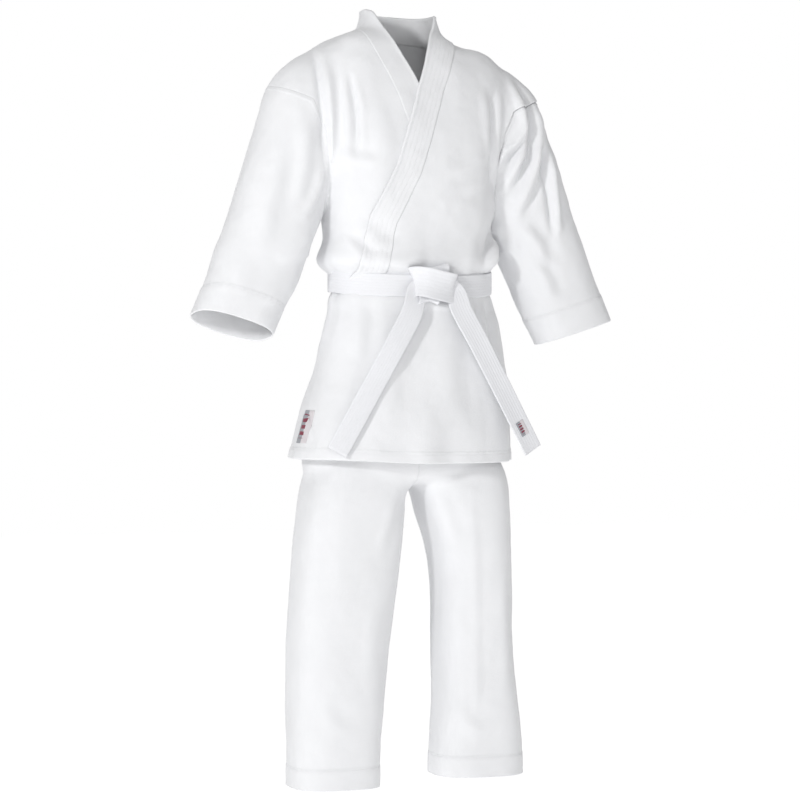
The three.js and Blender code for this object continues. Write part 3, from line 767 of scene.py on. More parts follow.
def cotton(name, colour, thread=0.0011, weave_depth=0.55, fuzz=0.25, ribs=None):
    """Woven cotton: crossing threads in the weave coordinates, slubs, faint unevenness of colour, and painted shade
    between the threads.
    """
    n = Nodes(name)
    uv = n.add("ShaderNodeUVMap", uv_map="Weave").outputs[0]
    place = n.add("ShaderNodeTexCoord").outputs["Object"]
    bands = 2 * math.pi / 20 / thread
    yarn = {"Vector": uv, "Scale": bands, "Distortion": 0.4, "Detail": 1.0}
    warp = n.add("ShaderNodeTexWave", yarn, bands_direction="X")
    weft = n.add("ShaderNodeTexWave", yarn, bands_direction="Y")
    threads = n.add("ShaderNodeMath", {0: warp.outputs["Fac"], 1: weft.outputs["Fac"]}, operation="MULTIPLY").outputs[0]
    slubs = n.add("ShaderNodeTexNoise", {"Vector": place, "Scale": 420.0, "Detail": 3.0}).outputs["Fac"]
    cloudy = {"Vector": place, "Scale": 14.0, "Detail": 4.0, "Roughness": 0.6}
    clouds = n.add("ShaderNodeTexNoise", cloudy).outputs["Fac"]
    height = n.add("ShaderNodeMath", {0: threads, 1: slubs}, operation="ADD").outputs[0]
    if ribs:
        rib = n.add("ShaderNodeTexWave", {"Vector": uv, "Scale": 2 * math.pi / 20 / ribs}, bands_direction="X")
        rows = n.add("ShaderNodeMath", {0: rib.outputs["Fac"], 1: 1.6}, operation="MULTIPLY").outputs[0]
        height = n.add("ShaderNodeMath", {0: height, 1: rows}, operation="ADD").outputs[0]
    bump = n.add("ShaderNodeBump", {"Height": height, "Strength": weave_depth, "Distance": 0.00035})
    crumpled = {"Vector": place, "Scale": 55.0, "Detail": 5.0, "Roughness": 0.55}
    crumple = n.add("ShaderNodeTexNoise", crumpled).outputs["Fac"]
    bump = n.add("ShaderNodeBump", {"Height": crumple, "Strength": 0.5, "Distance": 0.0011, "Normal": bump.outputs[0]})
    paler = {"Value": clouds, "From Min": 0.3, "From Max": 0.7, "To Min": 0.965, "To Max": 1.0}
    shade = n.add("ShaderNodeMapRange", paler)
    tint = n.add("ShaderNodeVectorMath", {0: (*colour,), 3: shade.outputs[0]}, operation="SCALE")
    # painted shade: the colour is darkened a little where the weave is low, between the threads
    thread_gap_shade = n.add("ShaderNodeMapRange", {"Value": threads, "To Min": 0.97, "To Max": 1.0})
    tint = n.add("ShaderNodeVectorMath", {0: tint.outputs[0], 3: thread_gap_shade.outputs[0]}, operation="SCALE")
    rough = n.add("ShaderNodeMapRange", {"Value": slubs, "To Min": 0.82, "To Max": 0.96})
    n.link(tint.outputs[0], "Base Color")
    n.link(rough.outputs[0], "Roughness")
    n.link(bump.outputs[0], "Normal")
    n.shader.inputs["Sheen Weight"].default_value = fuzz
    n.shader.inputs["Sheen Roughness"].default_value = 0.45
    n.shader.inputs["Specular IOR Level"].default_value = 0.25
    return n.material


def woven_label(name, ground, band, bars):
    """A satin label: a grey half with plain maroon bars and a pale half, with no lettering."""
    n = Nodes(name)
    uv = n.add("ShaderNodeUVMap", uv_map="Weave").outputs[0]
    split = n.add("ShaderNodeSeparateXYZ", {0: uv})
    across, up = split.outputs[0], split.outputs[1]
    half = n.add("ShaderNodeMath", {0: across, 1: 0.52}, operation="GREATER_THAN").outputs[0]
    stripe = n.add("ShaderNodeTexWave", {"Vector": uv, "Scale": 1.6, "Distortion": 0.0}, bands_direction="Y")
    stripe = n.add("ShaderNodeMath", {0: stripe.outputs["Fac"], 1: 0.40}, operation="GREATER_THAN").outputs[0]
    left = n.add("ShaderNodeMath", {0: across, 1: 0.14}, operation="GREATER_THAN").outputs[0]
    right = n.add("ShaderNodeMath", {0: across, 1: 0.60}, operation="LESS_THAN").outputs[0]
    low = n.add("ShaderNodeMath", {0: up, 1: 0.14}, operation="GREATER_THAN").outputs[0]
    high = n.add("ShaderNodeMath", {0: up, 1: 0.88}, operation="LESS_THAN").outputs[0]
    bar = stripe
    for limit in (left, right, low, high):
        bar = n.add("ShaderNodeMath", {0: bar, 1: limit}, operation="MULTIPLY").outputs[0]
    base = n.add("ShaderNodeMix", {"Factor": half, "A": (*ground, 1), "B": (*band, 1)}, data_type="RGBA")
    base.inputs[6].default_value = (*ground, 1)
    base.inputs[7].default_value = (*band, 1)
    top = n.add("ShaderNodeMix", {"Factor": bar}, data_type="RGBA")
    n.tree.links.new(base.outputs[2], top.inputs[6])
    top.inputs[7].default_value = (*bars, 1)
    satin = n.add("ShaderNodeTexWave", {"Vector": uv, "Scale": 22.0}, bands_direction="DIAGONAL").outputs["Fac"]
    bump = n.add("ShaderNodeBump", {"Height": satin, "Strength": 0.3, "Distance": 0.0002})
    n.link(top.outputs[2], "Base Color")
    n.link(bump.outputs[0], "Normal")
    n.shader.inputs["Roughness"].default_value = 0.42
    n.shader.inputs["Sheen Weight"].default_value = 0.1
    return n.material


def plain(name, colour, roughness):
    n = Nodes(name)
    n.shader.inputs["Base Color"].default_value = (*colour, 1)
    n.shader.inputs["Roughness"].default_value = roughness
    return n.material


MATERIALS = {}


def material(kind):
    """Each finish is made once and shared by the pieces that have it."""
    colours = bpy.context.scene.uniform_cloth
    makers = {
        "canvas": lambda: cotton("bleached_canvas", colours.canvas_colour),
        "facing": lambda: cotton("cotton_twill", colours.facing_colour, thread=0.0008),
        "webbing": lambda: cotton("belt_cotton", colours.belt_colour, thread=0.0010, weave_depth=0.5),
        "thread": lambda: cotton("sewing_thread", colours.thread_colour, thread=0.0004, weave_depth=0.3, fuzz=0.1),
        "label": lambda: woven_label("woven_label", (0.33, 0.34, 0.37), (0.70, 0.66, 0.68), colours.label_colour),
        "elastic": lambda: cotton("ribbed_elastic", colours.facing_colour, thread=0.0012, ribs=0.004),
    }
    if kind not in MATERIALS:
        MATERIALS[kind] = makers[kind]()
    return MATERIALS[kind]


# ---- Stitches, laid along lines on the cloth by Geometry Nodes -----------------------------------


def stitch_tree():
    """Geometry Nodes that lay a short thread at equal steps along each line of the mesh they are given."""
    tree = bpy.data.node_groups.new("lay_stitches", "GeometryNodeTree")
    sockets = tree.interface
    sockets.new_socket("Geometry", in_out="INPUT", socket_type="NodeSocketGeometry")
    for name, value in (("Pitch", 0.0035), ("Thread Length", 0.0024), ("Thread Radius", 0.0003)):
        socket = sockets.new_socket(name, in_out="INPUT", socket_type="NodeSocketFloat")
        socket.default_value = value
    sockets.new_socket("Thread", in_out="INPUT", socket_type="NodeSocketMaterial")
    sockets.new_socket("Geometry", in_out="OUTPUT", socket_type="NodeSocketGeometry")
    new, link = tree.nodes.new, tree.links.new
    given, result = new("NodeGroupInput"), new("NodeGroupOutput")
    curve = new("GeometryNodeMeshToCurve")
    steps = new("GeometryNodeResampleCurve")
    steps.mode = "LENGTH"
    thread = new("GeometryNodeMeshCylinder")
    thread.inputs["Vertices"].default_value = 6
    thread.inputs["Side Segments"].default_value = 2
    place = new("GeometryNodeInstanceOnPoints")
    tangent = new("GeometryNodeInputTangent")
    turn = new("FunctionNodeAlignRotationToVector")
    turn.axis = "Z"
    realize = new("GeometryNodeRealizeInstances")
    paint = new("GeometryNodeSetMaterial")
    link(given.outputs["Geometry"], curve.inputs["Mesh"])
    link(curve.outputs["Curve"], steps.inputs["Curve"])
    link(given.outputs["Pitch"], steps.inputs["Length"])
    link(given.outputs["Thread Length"], thread.inputs["Depth"])
    link(given.outputs["Thread Radius"], thread.inputs["Radius"])
    link(steps.outputs["Curve"], place.inputs["Points"])
    link(thread.outputs["Mesh"], place.inputs["Instance"])
    link(tangent.outputs["Tangent"], turn.inputs["Vector"])
    link(turn.outputs["Rotation"], place.inputs["Rotation"])
    link(place.outputs["Instances"], realize.inputs["Geometry"])
    link(realize.outputs["Geometry"], paint.inputs["Geometry"])
    link(given.outputs["Thread"], paint.inputs["Material"])
    link(paint.outputs["Geometry"], result.inputs["Geometry"])
    return tree


def stitched(name, runs, lift):
    """One mesh of threads along the runs of rows; lift is their height over the cloth, or gives it for a run."""
    stitch = bpy.context.scene.uniform_stitch
    points, edges = [], []
    for run in runs:
        start = len(points)
        off = lift(run) if callable(lift) else np.full(len(run), lift)
        line = run[:, PLACE] + run[:, NORMAL] * off[:, None]
        points += line.tolist()
        edges += [(start + i, start + i + 1) for i in range(len(line) - 1)]
    mesh = bpy.data.meshes.new(name)
    mesh.from_pydata(points, edges, [])
    lines = bpy.data.objects.new(name, mesh)
    bpy.context.collection.objects.link(lines)
    tree = bpy.data.node_groups.get("lay_stitches") or stitch_tree()
    modifier = lines.modifiers.new("stitches", "NODES")
    modifier.node_group = tree
    values = {"Pitch": stitch.pitch, "Thread Length": stitch.length, "Thread Radius": stitch.radius}
    for item in tree.interface.items_tree:
        if item.item_type == "SOCKET" and item.in_out == "INPUT":
            if item.name in values:
                modifier[item.identifier] = values[item.name]
            elif item.name == "Thread":
                modifier[item.identifier] = material("thread")
    made = bpy.data.meshes.new_from_object(lines.evaluated_get(bpy.context.evaluated_depsgraph_get()))
    lines.modifiers.clear()
    lines.data = made
    bpy.data.meshes.remove(mesh)
    made.name = name
    if "Weave" not in made.uv_layers:
        made.uv_layers.new(name="Weave")
    made.shade_smooth()
    return lines


# ---- The jacket, cut from one folded surface -----------------------------------------------------

WRAP_EDGE = [
    (0.060, 0.060),
    (0.056, 0.030),
    (0.000, LAPEL_CROSS_Z),
    (-0.047, -0.241),
    (-0.091, -0.333),
    (-0.107, BELT_Z + 0.02),
    (-0.126, BELT_Z - 0.02),
    (-0.260, -0.62),
]
LAPEL_WIDTH = 0.044
LAPEL_ROWS_APART = 0.0080
OVER_LIFT = 0.0032
CLOTH = 0.0017

# Each turned hem's stitch line with the cloth's mesh cut on both sides of it, measured up from the hem.
SKIRT_HEM_STEPS = (0.016, 0.018, 0.020)
CUFF_HEM_STEPS = (0.048, 0.050, 0.052)
LEG_HEM_STEPS = (0.035, 0.037, 0.039)


class Fields:
    """Signed distances on the jacket's surface before folding, positive on the side that a piece keeps."""

    def __init__(self, rows):
        self.rest = rows[:, REST]
        self.x, self.y, self.z = self.rest.T
        self.front_view = self.rest[:, [0, 2]]

    def over(self):
        return polyline_distance(self.front_view, WRAP_EDGE)[0]

    def under(self):
        mirrored = [(-x, z) for x, z in WRAP_EDGE]
        return -polyline_distance(self.front_view, mirrored)[0]

    def neck(self):
        """Distance from the neck's edge: down the V in front, from the collar's top at the back."""
        side = np.abs(self.x)
        edge = [(0.30, COLLAR_TOP), (0.064, COLLAR_TOP), (0.056, 0.030), (-0.004, LAPEL_CROSS_Z - 0.008)]
        slope = polyline_distance(np.stack([side, self.z], 1), edge)[0]
        level = COLLAR_TOP - self.z
        share = smoothstep(self.y, -0.035, 0.015)
        return slope * (1 - share) + level * share

    def front(self):
        return SIDE_SEAM_Y - self.y

    def hem(self):
        return self.z - HEM_Z + 0.007 * smoothstep(self.x, -0.17, 0.02) * smoothstep(-self.y, 0.0, 0.08) - 0.001

    def body(self, side):
        """Positive on the jacket's side of the sleeve seam."""
        seam = [(0.34, -0.070), (0.256, -0.106), (0.188, -0.134), (0.166, -0.18), (0.157, -0.25), (0.156, -0.33),
                (0.163, -0.381), (0.192, -0.45), (0.226, -0.52), (0.250, -0.62), (0.27, -0.90)]
        return -polyline_distance(np.stack([self.x * side, self.z], 1), seam)[0]


def keep(sheet, *fields):
    """The sheet cut by several fields, each named with an optional sign and margin."""
    rows, triangles = sheet
    for values_of in fields:
        rows, triangles = cut(rows, triangles, values_of(Fields(rows)))
    return rows, triangles


def over_lift(rows):
    """The over panel's extra height, which fades to nothing at the shoulders and side."""
    rest = rows[:, REST]
    return OVER_LIFT * smoothstep(SIDE_SEAM_Y - rest[:, 1], 0.0, 0.045)


def hem_step(distance, width, thick=0.0009):
    """A turned hem: one more layer below its stitch line, and the groove of the line itself."""
    layer = thick * (1 - smoothstep(distance, width, width + 0.0012))
    groove = np.exp(-(((distance - width + 0.002) / 0.0011) ** 2))
    return layer - 0.0006 * groove


def piece_of(name, sheet, inner, outer, kind="canvas"):
    rows, triangles = sheet
    points, faces, weave = walled(rows, triangles, inner, outer)
    piece = make_object(name, points, faces, material(kind), weave)
    return piece


class Garment:
    """The folded surfaces, made once and shared by the operators."""

    sheets = {}

    @classmethod
    def jacket(cls):
        if "jacket" not in cls.sheets:
            settings = bpy.context.scene.uniform_cloth
            forms = [torso_form(), Arm(-1).form(), Arm(1).form()]
            moves = (shoulder_ease, jacket_push, uneven_shoulders)
            cls.sheets["jacket"] = folded_sheet(
                forms, settings.grain, 14, *moves, settings.fold_strength, body_weave
            )
        return cls.sheets["jacket"]

    @classmethod
    def trousers(cls):
        if "trousers" not in cls.sheets:
            settings = bpy.context.scene.uniform_cloth
            moves = (crotch_ease, trouser_push, lambda places: places)
            cls.sheets["trousers"] = folded_sheet(
                trouser_forms(), settings.grain, 14, *moves, 0.6 * settings.fold_strength, leg_weave
            )
        return cls.sheets["trousers"]


def both_bodies(fields):
    return np.minimum(fields.body(-1), fields.body(1))


class UNIFORM_OT_jacket_fronts(bpy.types.Operator):
    """Cuts the under and the over front panel, with their turned hems."""

    bl_idname = "uniform.jacket_fronts"
    bl_label = "Jacket fronts"

    def execute(self, context):
        sheet = Garment.jacket()
        shared = (Fields.front, Fields.hem, both_bodies, lambda f: f.neck() - 0.004)
        hem_at = lambda rows: Fields(rows).hem()
        under = keep(sheet, *shared, Fields.under)
        under = score(*under, hem_at, SKIRT_HEM_STEPS)
        lift = hem_step(hem_at(under[0]), 0.018)
        piece = piece_of("under_front_panel", under, -CLOTH * 0.4, CLOTH * 0.6 + lift)
        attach(piece, "jacket")
        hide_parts("right_front_panel", "right_yoke")
        over = keep(sheet, *shared, Fields.over)
        over = score(*over, hem_at, SKIRT_HEM_STEPS)
        base = over_lift(over[0])
        lift = hem_step(hem_at(over[0]), 0.018)
        piece = piece_of("over_front_panel", over, base - CLOTH * 0.4, base + CLOTH * 0.6 + lift)
        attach(piece, "jacket")
        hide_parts("left_front_panel", "left_yoke", "front_hem_facing")
        lines = isolines(*over, hem_at(over[0]) - 0.016)
        threads = stitched("front_hem_stitches", lines, OVER_LIFT + CLOTH * 0.6 + 0.0003)
        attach(threads, "jacket")
        return {"FINISHED"}


class UNIFORM_OT_jacket_back(bpy.types.Operator):
    """Cuts the back, with its skirt."""

    bl_idname = "uniform.jacket_back"
    bl_label = "Jacket back"

    def execute(self, context):
        sheet = Garment.jacket()
        back = keep(sheet, lambda f: -f.front(), Fields.hem, both_bodies, lambda f: f.neck() - 0.004)
        hem_at = lambda rows: Fields(rows).hem()
        seam_at = lambda rows: np.abs(rows[:, REST.start])
        back = score(*back, hem_at, SKIRT_HEM_STEPS)
        back = score(*back, seam_at, (0.0008, 0.0065, 0.0085))
        beside = seam_at(back[0])
        felled = 0.0006 * (1 - smoothstep(beside, 0.0065, 0.0085)) - 0.0011 * np.exp(-((beside / 0.0011) ** 2))
        lift = hem_step(hem_at(back[0]), 0.018) + felled
        piece = piece_of("jacket_back", back, -CLOTH * 0.4, CLOTH * 0.6 + lift)
        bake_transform(piece)
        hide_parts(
            "right_back_panel", "left_back_panel", "right_back_skirt", "left_back_skirt", "back_hem_facing"
        )
        lines = isolines(*back, hem_at(back[0]) - 0.016) + isolines(*back, back[0][:, REST.start] - 0.0062)
        threads = stitched("back_stitches", lines, CLOTH * 0.6 + 0.0003)
        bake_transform(threads)
        return {"FINISHED"}


class UNIFORM_OT_lapels(bpy.types.Operator):
    """Lays the collar and lapel bands along the jacket's free edges, with their rows of stitching."""

    bl_idname = "uniform.lapels"
    bl_label = "Collar and lapels"

    def execute(self, context):
        sheet = Garment.jacket()
        for name, edge, side in (("under_lapel", Fields.under, -1), ("over_lapel", Fields.over, 1)):
            self.lapel(sheet, name, edge, side)
        return {"FINISHED"}

    def lapel(self, sheet, name, edge, side):
        def band_at(fields):
            """Distance in from the free edge, round the neck as well as down the front."""
            at_neck = fields.neck()
            below = smoothstep(-fields.z, -LAPEL_CROSS_Z - 0.03, -LAPEL_CROSS_Z + 0.02)
            share = below * smoothstep(-fields.y, 0.02, 0.05)
            return at_neck * (1 - share) + np.maximum(edge(fields), -0.2) * share

        def own_half(fields):
            """A band stays on its own side of the neck, and in front below it."""
            return np.where(fields.z > LAPEL_CROSS_Z, fields.x * side, 0.01)

        def in_front(fields):
            return np.where(fields.z < -0.02, SIDE_SEAM_Y - fields.y, 0.01)

        values = lambda rows: band_at(Fields(rows))
        def own_edge(fields):
            """The free edge counts in front only; behind, the band runs on to the middle of the neck."""
            return np.where((fields.y > 0.0) & (fields.z > -0.06), 0.01, edge(fields))

        band = keep(sheet, lambda f: f.neck() - 0.0005, own_edge, lambda f: f.z - (BELT_Z - 0.015), both_bodies)
        band = keep(band, own_half, in_front, lambda f: band_at(f) - 0.0004, lambda f: LAPEL_WIDTH - band_at(f))
        if side < 0:
            band = keep(band, lambda f: np.where(f.y < -0.01, 0.012 - f.over(), 0.01))
        marks = [0.0055 + LAPEL_ROWS_APART * i for i in range(5 if side > 0 else 1)]
        band = score(*band, values, [m + d for m in marks for d in (-0.0018, 0.0, 0.0018)])
        distance = values(band[0])
        quilt = sum(np.exp(-(((distance - m) / 0.0011) ** 2)) for m in marks)
        base = over_lift(band[0]) * (side > 0) + CLOTH * 0.6
        roll = 0.0012 * np.exp(-((distance / 0.004) ** 2))
        outer = base + (0.0020 - 0.0003 * quilt if side > 0 else 0.0005) + roll
        piece = piece_of(name, band, base - 0.0030, outer)
        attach(piece, "jacket")
        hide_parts(*(["left_lapel_band", "collar_band"] if side > 0 else ["right_lapel_band"]))
        lines = [run for m in marks for run in isolines(*band, distance - m)]
        above = CLOTH * 0.6 + (0.0018 if side > 0 else 0.0004)
        threads = stitched(name + "_stitches", lines, lambda run: over_lift(run) * (side > 0) + above)
        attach(threads, "jacket")


class UNIFORM_OT_sleeves(bpy.types.Operator):
    """Cuts both sleeves with their deep turned cuffs."""

    bl_idname = "uniform.sleeves"
    bl_label = "Sleeves"

    def execute(self, context):
        for side, name in ((-1, "right"), (1, "left")):
            arm = Arm(side)
            cuff_at = lambda rows: arm.along(rows[:, REST])
            sleeve = keep(Garment.jacket(), lambda f: -f.body(side), lambda f: f.x * side)
            sleeve = cut(*sleeve, cuff_at(sleeve[0]))
            share, turn = arm.coordinates(sleeve[0][:, REST])
            sleeve[0][:, WEAVE] = np.stack([turn * 0.072, share * arm.length], 1)
            sleeve = score(*sleeve, cuff_at, CUFF_HEM_STEPS)
            seam_at = lambda rows: -Fields(rows).body(side)
            sleeve = score(*sleeve, seam_at, (0.0012, 0.0068, 0.0088))
            beside = seam_at(sleeve[0])
            felled = 0.0007 * (1 - smoothstep(beside, 0.0068, 0.0088)) - 0.0010 * np.exp(-((beside / 0.0013) ** 2))
            lift = hem_step(cuff_at(sleeve[0]), 0.050, 0.0010) + felled
            piece = piece_of(name + "_sleeve_cloth", sleeve, -CLOTH * 0.4, CLOTH * 0.6 + lift)
            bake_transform(piece)
            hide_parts(name + "_sleeve", name + "_cuff_hem")
            lines = isolines(*sleeve, cuff_at(sleeve[0]) - 0.048) + isolines(*sleeve, seam_at(sleeve[0]) - 0.0065)
            threads = stitched(name + "_sleeve_stitches", lines, CLOTH * 0.6 + 0.0008)
            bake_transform(threads)
        return {"FINISHED"}


# ---- The trousers --------------------------------------------------------------------------------


class UNIFORM_OT_trousers(bpy.types.Operator):
    """Cuts each half of the trousers, with its turned hem, and makes the waistband and its elastic."""

    bl_idname = "uniform.trousers"
    bl_label = "Trousers"

    def execute(self, context):
        rows, triangles = Garment.trousers()
        for side, name in ((-1, "right"), (1, "left")):
            hem_z = TROUSER_HEM_Z + (0.021 if side > 0 else 0.009)
            hem_at = lambda r: r[:, REST.start + 2] - hem_z
            half = cut(rows, triangles, rows[:, REST.start] * side - 0.0004)
            half = cut(*half, hem_at(half[0]))
            half = cut(*half, WAIST_TOP - 0.001 - half[0][:, REST.start + 2])
            half = score(*half, hem_at, LEG_HEM_STEPS)
            lift = hem_step(hem_at(half[0]), 0.037, 0.0010)
            piece = piece_of(name + "_trouser_half", half, -CLOTH * 0.5, CLOTH * 0.5 + lift)
            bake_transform(piece)
            extra = ["crotch_gusset"] if side > 0 else []
            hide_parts(name + "_hip_panel", name + "_leg", name + "_leg_hem", *extra)
            lines = isolines(*half, hem_at(half[0]) - 0.035)
            threads = stitched(name + "_leg_stitches", lines, CLOTH * 0.5 + 0.0008)
            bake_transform(threads)
        face = CLOTH * 0.5
        for name, width, inner, outer, kind, slot, node in (
            ("waistband_cloth", 0.042, face + 0.0003, face + 0.0022, "canvas", "canvas", "waistband"),
            ("waist_elastic_band", 0.034, -face - 0.0018, -face - 0.0004, "elastic", "facing", "waist_elastic"),
        ):
            band = cut(rows, triangles, WAIST_TOP - rows[:, REST.start + 2])
            band = cut(*band, band[0][:, REST.start + 2] - (WAIST_TOP - width))
            piece = piece_of(name, band, inner, outer, kind)
            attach(piece, "trousers")
            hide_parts(node)
        return {"FINISHED"}


# ---- The belt ------------------------------------------------------------------------------------


def ribbon(name, path, across, width, thick, rows=8, closed=False, cup=0.0):
    """A flat stitched band swept along a path; across gives the direction of its width at each point."""
    path = np.asarray(path, float)
    across = np.asarray(across, float)
    tangent = np.gradient(path, axis=0)
    if closed:
        tangent = np.roll(path, -1, 0) - np.roll(path, 1, 0)
    tangent /= np.linalg.norm(tangent, axis=1, keepdims=True)
    across = across - tangent * (across * tangent).sum(1, keepdims=True)
    across /= np.linalg.norm(across, axis=1, keepdims=True)
    out = np.cross(tangent, across)
    steps = 6 * rows + 1
    v = np.linspace(-1, 1, steps)
    quilt = np.abs(np.sin((v + 1) / 2 * math.pi * rows)) ** 0.7
    edge = np.sqrt(np.clip(1 - np.abs(v) ** 14, 0, 1))
    half = thick / 2 * (0.86 + 0.14 * quilt) * np.maximum(edge, 0.35)
    curve = cup * (v**2)
    upper = np.stack([v * width / 2, half + curve], 1)
    lower = np.stack([v * width / 2, -half + curve], 1)
    section = np.concatenate([upper, lower[::-1]])
    count = len(section)
    points = path[:, None] + section[None, :, :1] * across[:, None] + section[None, :, 1:] * out[:, None]
    n = len(path)
    i = np.arange(count)
    j = (i + 1) % count
    faces = []
    for r in range(n if closed else n - 1):
        s = (r + 1) % n
        faces.append(np.stack([r * count + i, r * count + j, s * count + j, s * count + i], 1))
    faces = np.concatenate(faces).tolist()
    if not closed:
        half_count = count // 2
        for r, flip in ((0, False), (n - 1, True)):
            for k in range(half_count - 1):
                quad = [r * count + k, r * count + count - 1 - k, r * count + count - 2 - k, r * count + k + 1]
                faces.append(quad if not flip else quad[::-1])
    run = np.concatenate([[0], np.cumsum(np.linalg.norm(np.diff(path, axis=0), axis=1))])
    weave = np.stack([np.tile(section[:, 0], n), np.repeat(run, count)], 1)
    piece = make_object(name, points.reshape(-1, 3), np.array(faces, dtype=object).tolist(), material("webbing"), weave)
    outward_faces(piece)
    return piece


def outward_faces(piece):
    """Turns every face of a closed piece outwards."""
    mesh = bmesh.new()
    mesh.from_mesh(piece.data)
    bmesh.ops.recalc_face_normals(mesh, faces=mesh.faces)
    mesh.to_mesh(piece.data)
    mesh.free()


def knot_middle():
    low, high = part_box("knot_loop")
    return (low + high) / 2, high - low


def wrap_path(node, dip):
    """The middle line of one wrap, following the belt's own box, a little lower in front."""
    low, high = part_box(node)
    middle, half = (low + high) / 2, (high - low) / 2
    turn = np.linspace(0, 2 * math.pi, 180, endpoint=False)
    c, s = np.cos(turn), np.sin(turn)
    blunt = lambda v: np.sign(v) * np.abs(v) ** (2 / 2.35)
    inset = 0.0016
    x = middle.x + (half.x - inset) * blunt(c)
    y = middle.y + (half.y - inset) * blunt(s)
    front = np.clip(-s, 0.0, 1.0) ** 1.3
    z = middle.z - dip * front + 0.0012 * np.sin(3 * turn + 0.7)
    return np.stack([x, y, z], 1)


class UNIFORM_OT_belt(bpy.types.Operator):
    """Makes the two wraps, the knot and the two hanging tails of the belt."""

    bl_idname = "uniform.belt"
    bl_label = "Belt"

    def execute(self, context):
        belt = bpy.context.scene.uniform_belt
        width, thick = belt.width, belt.thickness
        up = lambda path: np.tile([0, 0, 1.0], (len(path), 1))
        for name, node, dip in (("inner_wrap", "belt_inner_wrap", 0.007), ("outer_wrap", "belt_outer_wrap", 0.012)):
            path = wrap_path(node, dip)
            piece = ribbon(name, path, up(path), width, thick * 0.9, closed=True)
            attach(piece, "jacket")
            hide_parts(node)
        self.knot(width, thick)
        for side, name in ((-1, "right"), (1, "left")):
            self.tail(side, name, width, thick)
        return {"FINISHED"}

    def knot(self, width, thick):
        middle, size = knot_middle()
        x, y, z = middle
        front = y - size.y / 2 - 0.004
        w, h = size.x / 2, size.z / 2
        # the broad turn that crosses over the knot from high on the wearer's right to low on the left
        over = resample(
            [(x - w * 1.02, y + 0.010, z + 0.004), (x - w * 1.12, y - 0.001, z + 0.006),
             (x - w * 0.86, front + 0.003, z + 0.006), (x - w * 0.35, front - 0.003, z + 0.003),
             (x + w * 0.30, front - 0.003, z - 0.002), (x + w * 0.90, front + 0.002, z - 0.005),
             (x + w * 1.16, y - 0.001, z - 0.006), (x + w * 1.04, y + 0.010, z - 0.006)], 60)
        lean = resample(
            [(-0.18, 0.25, 1), (-0.20, 0.10, 1), (-0.16, 0.05, 1), (0.04, 0.0, 1),
             (0.20, 0.0, 1), (0.24, -0.05, 1), (0.10, 0, 1), (0, 0, 1)], 60)
        piece = ribbon("knot_over", over, lean, width * 1.32, thick, cup=0.0058)
        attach(piece, "jacket")
        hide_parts("knot_loop")
        # the turn that comes up from under the wraps and goes down behind the broad one
        loop = resample(
            [(x + 0.004, y + 0.013, z + h * 0.85), (x + 0.005, y + 0.008, z + h * 1.30),
             (x + 0.007, y - 0.005, z + h * 1.30), (x + 0.005, front + 0.0065, z + h * 0.80),
             (x - 0.002, front + 0.007, z), (x - 0.008, front + 0.0075, z - h * 0.80),
             (x - 0.012, y - 0.002, z - h * 1.22), (x - 0.014, y + 0.010, z - h * 1.15)], 60)
        lean = np.tile([1.0, 0.0, 0.22], (60, 1))
        piece = ribbon("knot_under", loop, lean, width * 1.02, thick, cup=0.0020)
        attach(piece, "jacket")
        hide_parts("knot_band")

    def tail(self, side, name, width, thick):
        pivot = joint_place(name + "_tail_lift")
        low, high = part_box(name + "_belt_tail")
        outer_x = low.x if side < 0 else high.x
        tip = Vector((outer_x - side * width * 0.44, 0, low.z + width * 0.24))
        middle, size = knot_middle()
        swing = Vector((tip.x - pivot.x, 0, tip.z - pivot.z))
        reach = swing.length
        direction = swing / reach
        inside = Vector((middle.x + side * 0.006, middle.y + 0.002, middle.z + 0.004))
        lean = low.y
        path = [inside, Vector((pivot.x - side * 0.004, pivot.y + 0.006, pivot.z + 0.020))]
        for share, off in ((0.06, 0.002), (0.25, -0.002), (0.5, -0.001), (0.75, 0.001), (1.0, 0.003)):
            at = Vector((pivot.x, 0, pivot.z)) + direction * reach * share
            at.y = pivot.y - 0.006 + (lean + 0.010 - pivot.y) * share + off
            path.append(at)
        path = resample(path, 90)
        cross = np.tile([-direction.z * side, 0.0, direction.x * side], (len(path), 1))
        share = np.linspace(0, 1, len(path))
        cross[:, 1] += (0.30 if side > 0 else -0.05) * share
        piece = ribbon(name + "_tail_cloth", path, cross, width, thick, cup=0.0012)
        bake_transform(piece)
        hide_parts(name + "_belt_tail")
        if side > 0:
            self.label(path, cross, width, thick)

    def label(self, path, cross, width, thick):
        at = len(path) - 10
        along = path[at + 4] - path[at - 4]
        along /= np.linalg.norm(along)
        wide = cross[at] - along * (cross[at] @ along)
        wide /= np.linalg.norm(wide)
        out = np.cross(wide, along)
        if out[1] > 0:
            out = -out
        piece = patch("tail_label", path[at] + out * (thick / 2 + 0.0006), wide * 0.0085, along * -0.0135, out)
        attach(piece, "left_tail")
        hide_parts("belt_label")


